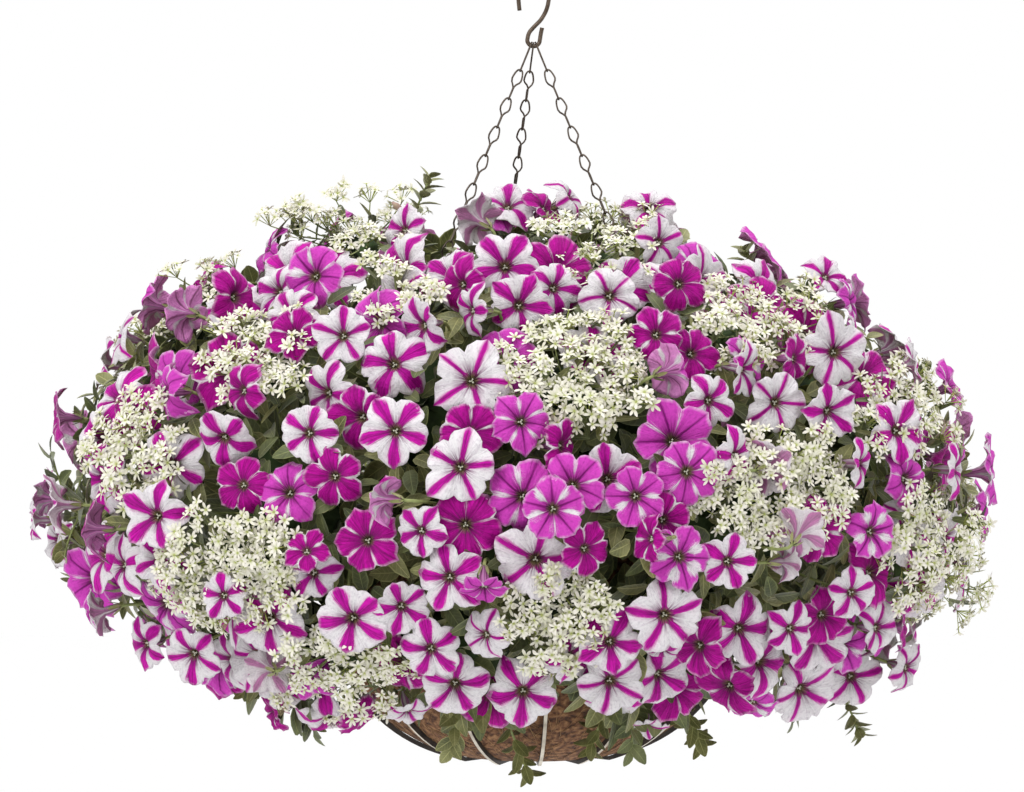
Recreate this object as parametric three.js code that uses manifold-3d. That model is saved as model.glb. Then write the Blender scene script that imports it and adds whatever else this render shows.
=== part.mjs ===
// A petunia hanging basket: a wire hook, three chains, a strap basket with a coco liner,
// potting soil, petunias in bloom and sprays of small white florets.
// Millimetres, +Z up. The origin is the seat of the hook's crook, and the viewer looks along +Y.
import * as THREE from 'three';
import { mergeVertices } from 'three/addons/utils/BufferGeometryUtils.js';
import Module from 'manifold-3d';

const wasm = await Module();
wasm.setup();

// The hook, a bent round wire
const HOOK_WIRE = 1.9;
const CROOK_RADIUS = 13.6;
const CROOK_Z = HOOK_WIRE - CROOK_RADIUS;
const EYE_RADIUS = 5.6;
const EYE_Z = -54.3;

// The basket: rim rod, strap ribs on edge that narrow from the rim down, base hoop
const RIM_RADIUS = 203;
const RIM_ROD = 3;
const RIM_Z = -484;
const RIB_COUNT = 14;
const RIB_FIRST_DEG = 3.4;
const RIB_DEPTH = 6;
const RIB_FOOT = 3;
const RIB_THICKNESS = 3;
const BASE_HOOP_RADIUS = 30;
const GAP = 0.3;

// The liner's bowl is a superellipse of revolution, cut flat at its base
const BOWL_RADIUS = 196;
const BOWL_DEPTH = 218;
const BOWL_POWER = 2.5;
const BOWL_FLAT = 208.4;
const LINER_WALL = 8;
const LINER_LIP = -2;
const SOIL_Z = -502;
const SOIL_CROWN = 8;

// The three chains, each named by where it meets the rim: degrees from the back, clockwise from above
const CHAIN_WIRE = 0.65;
const CHAIN_LINKS = 17;
const CHAIN_JOINT = 1.1;
const CHAIN_RIM_DEG = { left: -120.5, rear: -16, right: 120.5 };
const CHAIN_EYE_DEG = { left: -36, rear: 0, right: 36 };
const CHAIN_ROOM = 7;

// A link's half-width at its belly, and how far down the link that is; the end links also have a
// half-width where they close round the eye and the rim
const LINK = { wide: 4.6, belly: 0.3 };
const EYE_LINK = { wide: 4.6, belly: 0.3, close: 3 };
const RIM_LINK = { wide: 5.2, belly: 0.55, close: 3.6 };

// The view in which the blooms are named by column and row: 1024 x 792, level but for 3 degrees
const VIEW = { columns: 1024, rows: 792, axisColumn: 533.5, seatRow: -19, mmPerStep: 0.9 };
const VIEW_DISTANCE = 3200;
const VIEW_TILT = THREE.MathUtils.degToRad(3);

// The mound that the throats of the blooms lie on: half-sizes of an ellipsoid with a flatter underside
const MOUND = { x: -18, z: -470, across: 430, deep: 398, up: 266, down: 214 };
const LAYER_STEP = 13;
const LAYER_DEPTHS = [0, -1, 1, -2, 2, -3];

// A flower's form: lobes notched between them, a throat as a share of the radius, and the tube behind
const LOBES = 5;
const PETUNIA = { notch: 0.74, throat: 0.36, droop: 0.06, tube: 5, neck: 4.5 };
const FLORET = { notch: 0.42, throat: 0.1, droop: 0, tube: 4, neck: 2.5 };
const STALK_SINK = 3;
const STALK_BACK = 12;
const STALK_KNEE = 28.8;
const STALK_BEND = 1.35;
const STALK_WIRE = 1.8;
const STEM = 3.2;
const STEM_ROOT = 14;
const SPRAY_STEM = 2.4;

// The front blooms: column, row and width in the view, colour, and the way a bloom faces where it
// isn't straight out (degrees to the viewer's right, degrees up). S striped, W white with a narrow
// star, M magenta, L lilac. Their lobes reach a little past the widths, which are read between notches.
const LOBE_REACH = 1.06;
const BLOOMS = [
  [508, 203, 60, 'S', 5, 55], [489, 200, 48, 'L', -20, 65], [547, 192, 50, 'M', 60, 40],
  [572, 196, 45, 'W', 70, 30], [475, 219, 52, 'W', -140, 20], [402, 229, 50, 'S', -40, 20],
  [267, 247, 50, 'L', -75, 30], [313, 275, 63, 'L'], [238, 297, 60, 'M', 55, 5],
  [286, 302, 57, 'S'], [293, 333, 52, 'M'], [342, 335, 58, 'S'], [240, 391, 56, 'M', -50, 0],
  [165, 392, 56, 'L', -70, 0], [150, 305, 56, 'L', -110, 10], [183, 312, 54, 'L', -140, 5],
  [460, 285, 52, 'M', -40, 0], [505, 265, 68, 'S', 0, 18], [520, 292, 60, 'S', 10, 8],
  [556, 274, 52, 'S', 20, 10], [610, 295, 60, 'W', 5, 12], [650, 207, 55, 'S', 15, 40],
  [661, 242, 50, 'W', 30, 10], [680, 283, 55, 'M', 15, 15], [420, 327, 60, 'S', -50, -10],
  [390, 352, 67, 'S'], [469, 311, 50, 'S', -60, 0], [472, 380, 76, 'W'], [657, 334, 54, 'M'],
  [697, 342, 53, 'M'], [671, 370, 55, 'L', 140, 10], [746, 370, 52, 'S', 60, -10],
  [753, 347, 50, 'L', 50, 20], [797, 359, 50, 'M', 60, 0], [836, 352, 68, 'W', 15, 5],
  [827, 275, 45, 'S', 30, 40], [860, 289, 50, 'L', 75, 10], [711, 401, 55, 'S', 30, 0],
  [785, 394, 60, 'W', 20, 0], [830, 412, 55, 'S', 30, -10], [915, 364, 50, 'W', 80, 10],
  [308, 433, 58, 'S'], [395, 430, 66, 'S'], [469, 425, 60, 'M', 0, 10], [521, 421, 58, 'L'],
  [566, 440, 55, 'M', 60, 0], [679, 434, 77, 'L'], [899, 430, 62, 'S'], [223, 440, 60, 'S', -15, -25],
  [738, 456, 55, 'S', 50, 0], [777, 464, 55, 'W', 150, 0], [863, 464, 50, 'S', 60, 0],
  [921, 476, 58, 'L', 45, 0], [958, 470, 55, 'S', 70, 0], [328, 473, 57, 'M'], [233, 482, 56, 'M'],
  [460, 467, 70, 'W'], [573, 485, 66, 'L', 0, 10], [611, 476, 68, 'S'], [636, 496, 58, 'L'],
  [688, 472, 66, 'L'], [523, 495, 70, 'L'], [552, 510, 60, 'L'], [380, 499, 50, 'M', -120, 0],
  [56, 505, 55, 'W', -95, 0], [33, 520, 40, 'S', -80, 0], [89, 529, 56, 'M', -100, 0],
  [154, 516, 67, 'S'], [420, 531, 50, 'S', -20, 0], [464, 526, 70, 'M'], [362, 542, 60, 'M'],
  [668, 520, 55, 'M'], [644, 538, 45, 'M', -60, 0], [800, 530, 55, 'W', 160, 25], [830, 532, 65, 'M'],
  [873, 532, 55, 'L', 30, 0], [306, 550, 45, 'M', -10, 30], [306, 579, 52, 'S'],
  [107, 572, 60, 'S', -55, 0], [147, 565, 60, 'S', -20, 0], [586, 549, 52, 'M', 20, 0],
  [536, 565, 77, 'W'], [449, 578, 64, 'S'], [485, 584, 45, 'L', 0, -60], [680, 557, 61, 'L'],
  [729, 562, 56, 'S'], [797, 566, 40, 'W', 120, 0], [853, 593, 50, 'S', 20, 0],
  [223, 596, 45, 'S', -10, 0], [98, 614, 45, 'W', -100, -20], [261, 631, 75, 'S'], [352, 620, 69, 'S'],
  [399, 617, 55, 'S', 10, -10], [431, 650, 58, 'S', 0, -10], [484, 636, 50, 'W', -30, -10],
  [610, 643, 62, 'S'], [666, 617, 72, 'W'], [697, 647, 60, 'M', -30, -10], [747, 642, 66, 'S'],
  [792, 630, 52, 'S'], [833, 627, 59, 'M'], [880, 628, 55, 'W', 50, 0], [904, 628, 45, 'M', 80, 0],
  [192, 656, 61, 'S'], [143, 645, 52, 'S', -50, -10], [268, 668, 50, 'S', -160, 0],
  [575, 670, 55, 'S', 50, -10], [611, 683, 67, 'W'], [665, 667, 52, 'S', -10, -70],
  [455, 686, 67, 'S'], [523, 693, 68, 'S', 0, -10], [726, 688, 62, 'M', -40, -20],
  [752, 706, 52, 'L', -10, -50], [804, 692, 71, 'W'], [853, 678, 58, 'W', 20, -10],
  [909, 669, 50, 'W', 50, -10], [646, 728, 40, 'W', 0, -60], [330, 722, 65, 'S', 5, -60],
  [362, 718, 50, 'M', 60, -40], [271, 712, 45, 'M', -70, -20], [409, 714, 45, 'W', 30, -60],
];

// The blooms that the viewer can't see: degrees round the back, levels as sines, sizes and ways
const BACK = {
  blooms: 74, from: 80, over: 200, low: -0.62, high: 0.97, radius: 26, more: 7, swing: 50, lift: 0.6, nod: 30,
};
const GOLDEN_SHARE = 0.618034;

// The blooms half hidden in the gaps between the front ones: places tried, degrees round the front,
// levels as sines, sizes and ways, how close one may come to another as a share of their radii, how
// much of a spray stays clear of them, and how far behind the others they lie
const FILL = {
  tries: 900, over: 140, low: -0.75, high: 0.9, radius: 27, more: 6, swing: 60, lift: 0.5, nod: 40,
  apart: 0.78, clear: 0.8, behind: 22,
};
const GOLDEN_TURN = 2.39996;

// The sprays of white florets in front: column, row, half-width and half-height in the view
const SPRAYS = [
  [345, 212, 84, 30], [390, 282, 42, 30], [250, 348, 54, 50], [122, 440, 48, 58], [222, 575, 76, 62],
  [335, 680, 78, 46], [558, 628, 58, 52], [572, 368, 76, 64], [600, 228, 64, 42], [762, 310, 66, 46],
  [780, 488, 78, 62], [915, 402, 52, 48], [946, 560, 54, 76], [200, 268, 34, 24],
];

// The sprays round the back: degrees round and up, and half-sizes in degrees
const BACK_SPRAY = { count: 4, from: 104, over: 152, wide: 9, tall: 12, high: 38, low: -6 };

// A spray's heads: their radius, the room for each and how far in they lie. Behind them lies the spray's
// leafy core, and its stem's root in the soil, which is swung a few degrees round
const FLORET_HEAD = 19;
const SPRAY_ROOT = { high: 66, low: 150, swing: 10 };
const SPRAY = { room: 780, inward: 6, behind: 34, core: 0.5, coreDeep: 15.4, sunk: 0.25 };

// Where the bare leafy tips reach: column and row in the view, and how deep (negative is nearer)
const SPRIG_TIPS = [
  [527, 772, -150], [590, 748, -150], [700, 742, -120], [860, 734, -60], [72, 578, 20],
  [430, 178, -40], [745, 250, -30], [246, 690, -60],
];

// The petunias' stems rise from the soil and arch outward like a fountain, in four tiers
const TIERS = [
  { count: 3, rise: 60, reach: 0.62, root: 46, start: 20 },
  { count: 5, rise: 32, reach: 0.66, root: 88, start: 40 },
  { count: 6, rise: 3, reach: 0.7, root: 128, start: -2 },
  { count: 6, rise: -38, reach: 0.76, root: 162, start: 44 },
];
const FRONT_CROWDING = 0.45;
const ARCH = { hangBelow: 40, hang: 1.02, stand: 0.35, over: 30, high: 150 };

// The foliage of one stem: a leafy core, larger under more blooms and wider than deep, and the large
// leaves round it
const CORE = { least: 44, more: 3, most: 80, tall: 0.82, deep: 34, root: 0.5 };
const LEAVES = { count: 3, foot: 0.5, out: 0.5, length: 62, more: 16, width: 34 };
const SPRIG = { wire: 1.6, arch: 18, leaves: 3, first: 0.8, apart: 0.085, length: 17, more: 4, width: 9 };

const COLOURS = {
  hook: { color: 0x4a3f33, roughness: 0.45, metalness: 0.8 },
  chain: { color: 0x45403a, roughness: 0.45, metalness: 0.8 },
  strap: { color: 0x2b2522, roughness: 0.5, metalness: 0.6 },
  liner: { color: 0x6e4427, roughness: 0.95, metalness: 0 },
  soil: { color: 0x2f221a, roughness: 1, metalness: 0 },
  petunia: { color: 0xc23aa6, roughness: 0.6, metalness: 0 },
  floret: { color: 0xe9ecd6, roughness: 0.7, metalness: 0 },
};

// One fixed sequence of draws, so the plant grows the same way every time
function sequence(seed) {
  let state = seed;
  return () => {
    state = (state * 1664525 + 1013904223) % 4294967296;
    return state / 4294967296;
  };
}

const rad = THREE.MathUtils.degToRad;
const vec = (x, y, z) => new THREE.Vector3(x, y, z);

// A closed surface as a solid that can be joined and cut
function solidOf(geometry) {
  const bare = new THREE.BufferGeometry();
  bare.setAttribute('position', geometry.attributes.position);
  bare.setIndex(geometry.index);
  const welded = mergeVertices(bare, 1e-4);
  return new wasm.Manifold(new wasm.Mesh({
    numProp: 3,
    vertProperties: new Float32Array(welded.attributes.position.array),
    triVerts: new Uint32Array(welded.index.array),
  }));
}

// A solid from its corners and its faces, three corners each, counter-clockwise from outside
function facets(corners, faces) {
  const geometry = new THREE.BufferGeometry();
  const flat = corners.flatMap((corner) => [corner.x, corner.y, corner.z]);
  geometry.setAttribute('position', new THREE.Float32BufferAttribute(flat, 3));
  geometry.setIndex(faces.flat());
  return solidOf(geometry);
}

function geometryOf(solid) {
  const mesh = solid.getMesh();
  const geometry = new THREE.BufferGeometry();
  geometry.setAttribute('position', new THREE.BufferAttribute(new Float32Array(mesh.vertProperties), 3));
  geometry.setIndex(new THREE.BufferAttribute(new Uint32Array(mesh.triVerts), 1));
  return geometry;
}

// A solid rod along a curve
function rod(curve, radius, sides, steps) {
  const section = new THREE.Shape();
  for (let side = 0; side < sides; side += 1) {
    const turn = (2 * Math.PI * side) / sides;
    section[side === 0 ? 'moveTo' : 'lineTo'](radius * Math.cos(turn), radius * Math.sin(turn));
  }
  section.closePath();
  return new THREE.ExtrudeGeometry(section, { steps, bevelEnabled: false, extrudePath: curve });
}

// The largest single body of a solid: scraps that a cut sets loose are dropped
function whole(solid) {
  const bodies = solid.decompose();
  return bodies.reduce((best, body) => (body.volume() > best.volume() ? body : best));
}

// The hook's wire runs from the crook's cut tip over the seat, down the shaft and round the eye
function hookGeometry() {
  const points = [vec(-12.6, 0, -28.1), vec(-13.5, 0, -19)];
  for (let turn = 180; turn >= 0; turn -= 22.5) {
    points.push(vec(CROOK_RADIUS * Math.cos(rad(turn)), 0, CROOK_Z + CROOK_RADIUS * Math.sin(rad(turn))));
  }
  points.push(vec(13.3, 0, -20), vec(11, 0, -28.5), vec(6.4, 0, -36.4), vec(0.6, 0, -42.4));
  points.push(vec(-4, 0, -48));
  for (let turn = 180; turn <= 360; turn += 30) {
    points.push(vec(EYE_RADIUS * Math.cos(rad(turn)), 0, EYE_Z + EYE_RADIUS * Math.sin(rad(turn))));
  }
  points.push(vec(6.4, 0, -49), vec(7.6, 0, -43.4));
  return rod(new THREE.CatmullRomCurve3(points), HOOK_WIRE, 6, 40);
}

// Radius of the liner's outside at a height
function bowlRadius(z) {
  const drop = Math.min(Math.max((RIM_Z - z) / BOWL_DEPTH, 0), 1);
  return BOWL_RADIUS * (1 - drop ** BOWL_POWER) ** (1 / BOWL_POWER);
}

// Points down the bowl's outside, from the lip to the flat base, moved out or in by an offset that can
// change to another one at the base
function bowlProfile(offset, steps, top, low = offset) {
  const profile = [];
  for (let step = 0; step <= steps; step += 1) {
    const share = Math.sin((Math.PI / 2) * (step / steps));
    const z = top + (RIM_Z - BOWL_FLAT - top) * share;
    const out = offset + (low - offset) * share;
    profile.push(new THREE.Vector2(bowlRadius(z) + out, z - out * share));
  }
  return profile;
}

function linerGeometry() {
  const base = RIM_Z - BOWL_FLAT;
  const outside = bowlProfile(0, 6, RIM_Z + LINER_LIP).reverse();
  const inside = bowlProfile(-LINER_WALL, 5, RIM_Z + LINER_LIP);
  const floor = new THREE.Vector2(0, base + LINER_WALL);
  return new THREE.LatheGeometry([new THREE.Vector2(0, base), ...outside, ...inside, floor], 22);
}

// The soil fills the liner, a little clear of it, and crowns slightly in the middle
function soilGeometry() {
  const side = bowlProfile(-LINER_WALL - 2 * GAP, 5, RIM_Z + LINER_LIP);
  const share = (side[0].y - SOIL_Z) / (side[0].y - side[1].y);
  const edge = side[0].clone().lerp(side[1], share);
  const base = new THREE.Vector2(0, side[5].y);
  const shoulder = new THREE.Vector2(110, SOIL_Z + SOIL_CROWN * 0.7);
  const middle = new THREE.Vector2(0, SOIL_Z + SOIL_CROWN);
  return new THREE.LatheGeometry([base, ...side.slice(1).reverse(), edge, shoulder, middle], 22);
}

function rimGeometry() {
  return new THREE.TorusGeometry(RIM_RADIUS, RIM_ROD, 6, 28);
}

// A rib is a flat strap on edge, bent to the bowl from under the rim to the base hoop
function ribGeometry() {
  const top = RIM_Z - RIM_ROD - GAP;
  const inner = bowlProfile(GAP, 6, top);
  const outer = bowlProfile(GAP + RIB_DEPTH, 6, top, GAP + RIB_FOOT);
  inner[0].y = top;
  outer[0].y = top;
  const end = BASE_HOOP_RADIUS + GAP;
  inner.push(new THREE.Vector2(end, inner[inner.length - 1].y));
  outer.push(new THREE.Vector2(end, outer[outer.length - 1].y));
  const outline = new THREE.Shape([...inner, ...outer.reverse()]);
  const strap = new THREE.ExtrudeGeometry(outline, { depth: RIB_THICKNESS, bevelEnabled: false });
  strap.translate(0, 0, -RIB_THICKNESS / 2);
  return strap.rotateX(Math.PI / 2);
}

function baseHoopGeometry() {
  const top = RIM_Z - BOWL_FLAT - GAP;
  const wall = [
    [BASE_HOOP_RADIUS - RIB_THICKNESS, top], [BASE_HOOP_RADIUS - RIB_THICKNESS, top - RIB_FOOT],
    [BASE_HOOP_RADIUS, top - RIB_FOOT], [BASE_HOOP_RADIUS, top], [BASE_HOOP_RADIUS - RIB_THICKNESS, top],
  ];
  return new THREE.LatheGeometry(wall.map(([r, z]) => new THREE.Vector2(r, z)), 20);
}

// Lathe profiles are drawn with the height as y, so a turned piece is stood up along Z
function stood(geometry) {
  return geometry.rotateX(Math.PI / 2);
}

// A wire's three corners where it bends at a point, mitred, with the first one furthest out
function addBend(mesh, before, point, after, out) {
  const into = point.clone().sub(before).normalize();
  const onward = after.clone().sub(point).normalize();
  const along = into.clone().add(onward).normalize();
  const mitre = 1 / Math.max(along.dot(into), 0.5);
  const first = out.clone().addScaledVector(along, -out.dot(along)).setLength(mitre);
  const side = along.clone().cross(first).normalize();
  return [0, 1, 2].map((corner) => {
    const turn = (2 * Math.PI * corner) / 3;
    const reach = first.clone().multiplyScalar(Math.cos(turn)).addScaledVector(side, Math.sin(turn));
    return mesh.corners.push(reach.multiplyScalar(CHAIN_WIRE).add(point)) - 1;
  });
}

// A joint's face as the end of a wire, its corners in order round the wire's way
function wireEnd(mesh, [outer, one, other], way) {
  const [start, first, second] = [outer, one, other].map((corner) => mesh.corners[corner]);
  const turn = first.clone().sub(start).cross(second.clone().sub(start));
  return turn.dot(way) > 0 ? [outer, one, other] : [outer, other, one];
}

// The next ring of a wire, begun at the corner that turns the wire's sides the least
function leastTurned(mesh, ring, next) {
  const spokes = (corners) => {
    const points = corners.map((corner) => mesh.corners[corner]);
    const middle = points.reduce((sum, point) => sum.add(point), vec(0, 0, 0)).divideScalar(3);
    return points.map((point) => point.clone().sub(middle).normalize());
  };
  const from = spokes(ring);
  const starts = [0, 1, 2].map((start) => next.map((_, corner) => next[(corner + start) % 3]));
  const agreement = (corners) => (
    spokes(corners).reduce((sum, spoke, corner) => sum + spoke.dot(from[corner]), 0));
  return starts.reduce((best, start) => (agreement(start) > agreement(best) ? start : best));
}

// A wire from one joint's face to another, bent at points, each with its way out from the chain
function addWire(mesh, from, bends, to) {
  const spots = bends.map(({ point }) => point);
  const head = wireEnd(mesh, from, spots[0].clone().sub(mesh.corners[from[0]]));
  const foot = wireEnd(mesh, to, mesh.corners[to[0]].clone().sub(spots[spots.length - 1]));
  const path = [mesh.corners[from[0]], ...spots, mesh.corners[to[0]]];
  const rings = bends.map(({ point, out }, at) => addBend(mesh, path[at], point, path[at + 2], out));
  [...rings, foot].reduce((ring, plain) => {
    const next = leastTurned(mesh, ring, plain);
    for (let corner = 0; corner < 3; corner += 1) {
      const after = (corner + 1) % 3;
      mesh.faces.push([ring[corner], ring[after], next[corner]], [ring[after], next[after], next[corner]]);
    }
    return next;
  }, head);
}

// Where two links meet they are joined in a small tetrahedron: the upper link's wires end on the two
// faces that share its upper edge, and the lower link's start on the two that share its lower edge
function addJoint(mesh, centre, down, across, beside) {
  const lift = down.clone().multiplyScalar(CHAIN_JOINT * Math.SQRT1_2);
  const first = mesh.corners.length;
  [1, -1].forEach((way) => {
    mesh.corners.push(centre.clone().sub(lift).addScaledVector(beside, way * CHAIN_JOINT));
  });
  [1, -1].forEach((way) => {
    mesh.corners.push(centre.clone().add(lift).addScaledVector(across, way * CHAIN_JOINT));
  });
  return {
    upper: [[first + 2, first, first + 1], [first + 3, first, first + 1]],
    lower: [[first, first + 2, first + 3], [first + 1, first + 2, first + 3]],
  };
}

// Each chain runs from the hook's eye to the rim rod
function chainEnds(side) {
  const eye = rad(CHAIN_EYE_DEG[side]);
  const rim = rad(CHAIN_RIM_DEG[side]);
  const bow = EYE_RADIUS - HOOK_WIRE - GAP - CHAIN_WIRE;
  const start = vec(bow * Math.sin(eye), 0, EYE_Z - bow * Math.cos(eye));
  const end = vec(RIM_RADIUS * Math.sin(rim), RIM_RADIUS * Math.cos(rim), RIM_Z);
  const below = end.clone().sub(start).setLength(RIM_ROD + GAP + 2 * CHAIN_WIRE);
  return { start, end: end.add(below), outward: vec(Math.sin(rim), Math.cos(rim), 0) };
}

// A link has a wide head and a narrow foot a quarter turn round from it, where the next one hangs.
// The first link lies flat round the eye. From there the chain turns a little from link to link, so
// that its last link stands flat round the rim rod.
function chainSolid(side) {
  const { start, end, outward } = chainEnds(side);
  const down = end.clone().sub(start).normalize();
  const pitch = start.distanceTo(end) / CHAIN_LINKS;
  const last = CHAIN_LINKS - 1;
  const eyeAcross = vec(0, 1, 0).addScaledVector(down, -down.y).normalize();
  const eyeBeside = down.clone().cross(eyeAcross);
  const facingRim = Math.sign(outward.dot(eyeBeside));
  const twist = Math.atan2(facingRim * outward.dot(eyeAcross), facingRim * outward.dot(eyeBeside));
  const waysAt = (link) => ({
    across: eyeAcross.clone().applyAxisAngle(down, (-twist * link) / last),
    beside: eyeBeside.clone().applyAxisAngle(down, (-twist * link) / last),
  });
  const bendAt = (along, reach, out) => {
    const point = start.clone().addScaledVector(down, pitch * along).addScaledVector(out, reach);
    return { point, out: out.clone().multiplyScalar(Math.sign(reach)) };
  };
  const mesh = { corners: [], faces: [] };
  const joints = Array.from({ length: last }, (_, joint) => {
    const { across, beside } = waysAt(joint + 1);
    return addJoint(mesh, start.clone().addScaledVector(down, pitch * (joint + 1)), down, across, beside);
  });
  const eyeBends = [
    bendAt(EYE_LINK.belly, EYE_LINK.wide, eyeAcross), bendAt(0, EYE_LINK.close, eyeAcross),
    bendAt(0, -EYE_LINK.close, eyeAcross), bendAt(EYE_LINK.belly, -EYE_LINK.wide, eyeAcross),
  ];
  addWire(mesh, joints[0].upper[0], eyeBends, joints[0].upper[1]);
  for (let link = 1; link < last; link += 1) {
    [LINK.wide, -LINK.wide].forEach((reach, way) => {
      const belly = bendAt(link + LINK.belly, reach, waysAt(link).beside);
      addWire(mesh, joints[link - 1].lower[way], [belly], joints[link].upper[way]);
    });
  }
  const { beside } = waysAt(last);
  const rimBends = [
    bendAt(last + RIM_LINK.belly, RIM_LINK.wide, beside), bendAt(CHAIN_LINKS, RIM_LINK.close, beside),
    bendAt(CHAIN_LINKS, -RIM_LINK.close, beside), bendAt(last + RIM_LINK.belly, -RIM_LINK.wide, beside),
  ];
  addWire(mesh, joints[last - 1].lower[0], rimBends, joints[last - 1].lower[1]);
  return facets(mesh.corners, mesh.faces);
}

// The room that petals leave round a chain
function chainRoom(side) {
  const { start, end } = chainEnds(side);
  return solidOf(rod(new THREE.LineCurve3(start, end), CHAIN_ROOM, 6, 1));
}

// A line of sight through a column and row of the view: where the eye is, and the way it looks
function sightLine(column, row) {
  const step = VIEW.mmPerStep / VIEW_DISTANCE;
  const ahead = vec(0, Math.cos(VIEW_TILT), -Math.sin(VIEW_TILT));
  const up = vec(0, Math.sin(VIEW_TILT), Math.cos(VIEW_TILT));
  const target = vec(
    (VIEW.columns / 2 - VIEW.axisColumn) * VIEW.mmPerStep, 0,
    (VIEW.seatRow - VIEW.rows / 2) * VIEW.mmPerStep,
  );
  const eye = target.clone().addScaledVector(ahead, -VIEW_DISTANCE);
  const look = ahead.clone().addScaledVector(vec(1, 0, 0), (column - VIEW.columns / 2) * step);
  return { eye, look: look.addScaledVector(up, (VIEW.rows / 2 - row) * step) };
}

// Where a line of sight first meets the mound, or passes closest to it
function onMound(column, row) {
  const { eye, look } = sightLine(column, row);
  const meet = (height) => {
    const scale = vec(1 / MOUND.across, 1 / MOUND.deep, 1 / height);
    const from = eye.clone().sub(vec(MOUND.x, 0, MOUND.z)).multiply(scale);
    const way = look.clone().multiply(scale);
    const half = from.dot(way) / way.lengthSq();
    const inside = half * half - (from.lengthSq() - 1) / way.lengthSq();
    return -half - Math.sqrt(Math.max(inside, 0));
  };
  const above = eye.clone().addScaledVector(look, meet(MOUND.up));
  const reach = above.z > MOUND.z ? meet(MOUND.up) : meet(MOUND.down);
  return { at: eye.clone().addScaledVector(look, reach), size: (VIEW.mmPerStep * reach) / VIEW_DISTANCE };
}

// The point of the mound at an azimuth from the viewer, and a level above its middle
function mound(azimuth, level, reach = 1) {
  const height = level > 0 ? MOUND.up : MOUND.down;
  return vec(
    MOUND.x + MOUND.across * reach * Math.sin(azimuth) * Math.cos(level),
    -MOUND.deep * reach * Math.cos(azimuth) * Math.cos(level),
    MOUND.z + height * reach * Math.sin(level),
  );
}

// The mound's outward direction at a point, with the steep parts eased towards level
function outwardAt(point) {
  const height = point.z > MOUND.z ? MOUND.up : MOUND.down;
  const out = vec((point.x - MOUND.x) / MOUND.across ** 2, point.y / MOUND.deep ** 2, 0);
  const rise = Math.atan2((point.z - MOUND.z) / height ** 2, out.length());
  return { azimuth: Math.atan2(out.x, -out.y), rise };
}

// A facing direction from degrees to the viewer's right and degrees up
function facing(right, up) {
  return vec(Math.sin(right) * Math.cos(up), -Math.cos(right) * Math.cos(up), Math.sin(up));
}

// Every bloom: its throat, radius, facing direction and spin
function bloomList() {
  const draw = sequence(7);
  const list = BLOOMS.map(([column, row, width, colour, right, up]) => {
    const { at, size } = onMound(column, row);
    const { azimuth, rise } = outwardAt(at);
    const turned = right !== undefined;
    const yaw = turned ? rad(right) : azimuth * 0.55 + rad(10) * (draw() - 0.5);
    const pitch = turned ? rad(up) : rise * 0.3 + rad(10) * (draw() - 0.5);
    const radius = (LOBE_REACH * width * size) / 2;
    return { at, radius, face: facing(yaw, pitch), spin: draw() * 2 * Math.PI, colour };
  });
  for (let one = 0; one < BACK.blooms; one += 1) {
    const azimuth = rad(BACK.from + BACK.over * ((one * GOLDEN_SHARE) % 1));
    const level = Math.asin(BACK.low + (BACK.high - BACK.low) * ((one + 0.5) / BACK.blooms));
    const face = facing(
      azimuth + rad(BACK.swing) * (draw() - 0.5), level * BACK.lift + rad(BACK.nod) * (draw() - 0.5),
    );
    const colour = 'SMLW'[Math.floor(draw() * 4)];
    const radius = BACK.radius + BACK.more * draw();
    list.push({ at: mound(azimuth, level), radius, face, spin: draw() * 2 * Math.PI, colour });
  }
  list.forEach((bloom) => {
    bloom.place = bloom.at.clone();
  });
  layer(list);
  return fillers(list, sprayList());
}

// Whether a place has room for a bloom beside the ones already there and outside the sprays
function hasRoom(at, radius, list, sprays) {
  const beside = list.every((other) => other.place.distanceTo(at) > FILL.apart * (other.radius + radius));
  return beside && sprays.every((spray) => {
    const { side, top } = acrossFace(spray.face);
    const off = at.clone().sub(spray.at);
    return Math.hypot(off.dot(side) / spray.wide, off.dot(top) / spray.tall) > FILL.clear;
  });
}

// Blooms in the gaps of a list of blooms, a step further in
function fillers(list, sprays) {
  const draw = sequence(41);
  const taken = [...list];
  for (let one = 0; one < FILL.tries; one += 1) {
    const azimuth = rad(FILL.over * (((one * GOLDEN_SHARE) % 1) - 0.5));
    const level = Math.asin(FILL.low + (FILL.high - FILL.low) * ((one + 0.5) / FILL.tries));
    const place = mound(azimuth, level);
    const radius = FILL.radius + FILL.more * draw();
    const yaw = azimuth * 0.8 + rad(FILL.swing) * (draw() - 0.5);
    const face = facing(yaw, level * FILL.lift + rad(FILL.nod) * (draw() - 0.5));
    const colour = 'SMSLWS'[Math.floor(draw() * 6)];
    const spin = draw() * 2 * Math.PI;
    if (hasRoom(place, radius, taken, sprays)) {
      const out = outwardAt(place);
      const at = place.clone().addScaledVector(facing(out.azimuth, out.rise), -FILL.behind);
      taken.push({ at, place, radius, face, spin, colour });
    }
  }
  return taken;
}

// Neighbours that would overlap are set at different depths, like shingles
function layer(list) {
  list.forEach((bloom, index) => {
    const near = list.slice(0, index).filter((other) => (
      other.at.distanceTo(bloom.at) < 0.85 * (other.radius + bloom.radius)));
    const free = LAYER_DEPTHS.find((depth) => !near.some((other) => other.depth === depth));
    bloom.depth = free === undefined ? 0 : free;
  });
  list.forEach((bloom) => {
    const { azimuth, rise } = outwardAt(bloom.at);
    bloom.at.addScaledVector(facing(azimuth, rise), bloom.depth * LAYER_STEP);
  });
}

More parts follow.
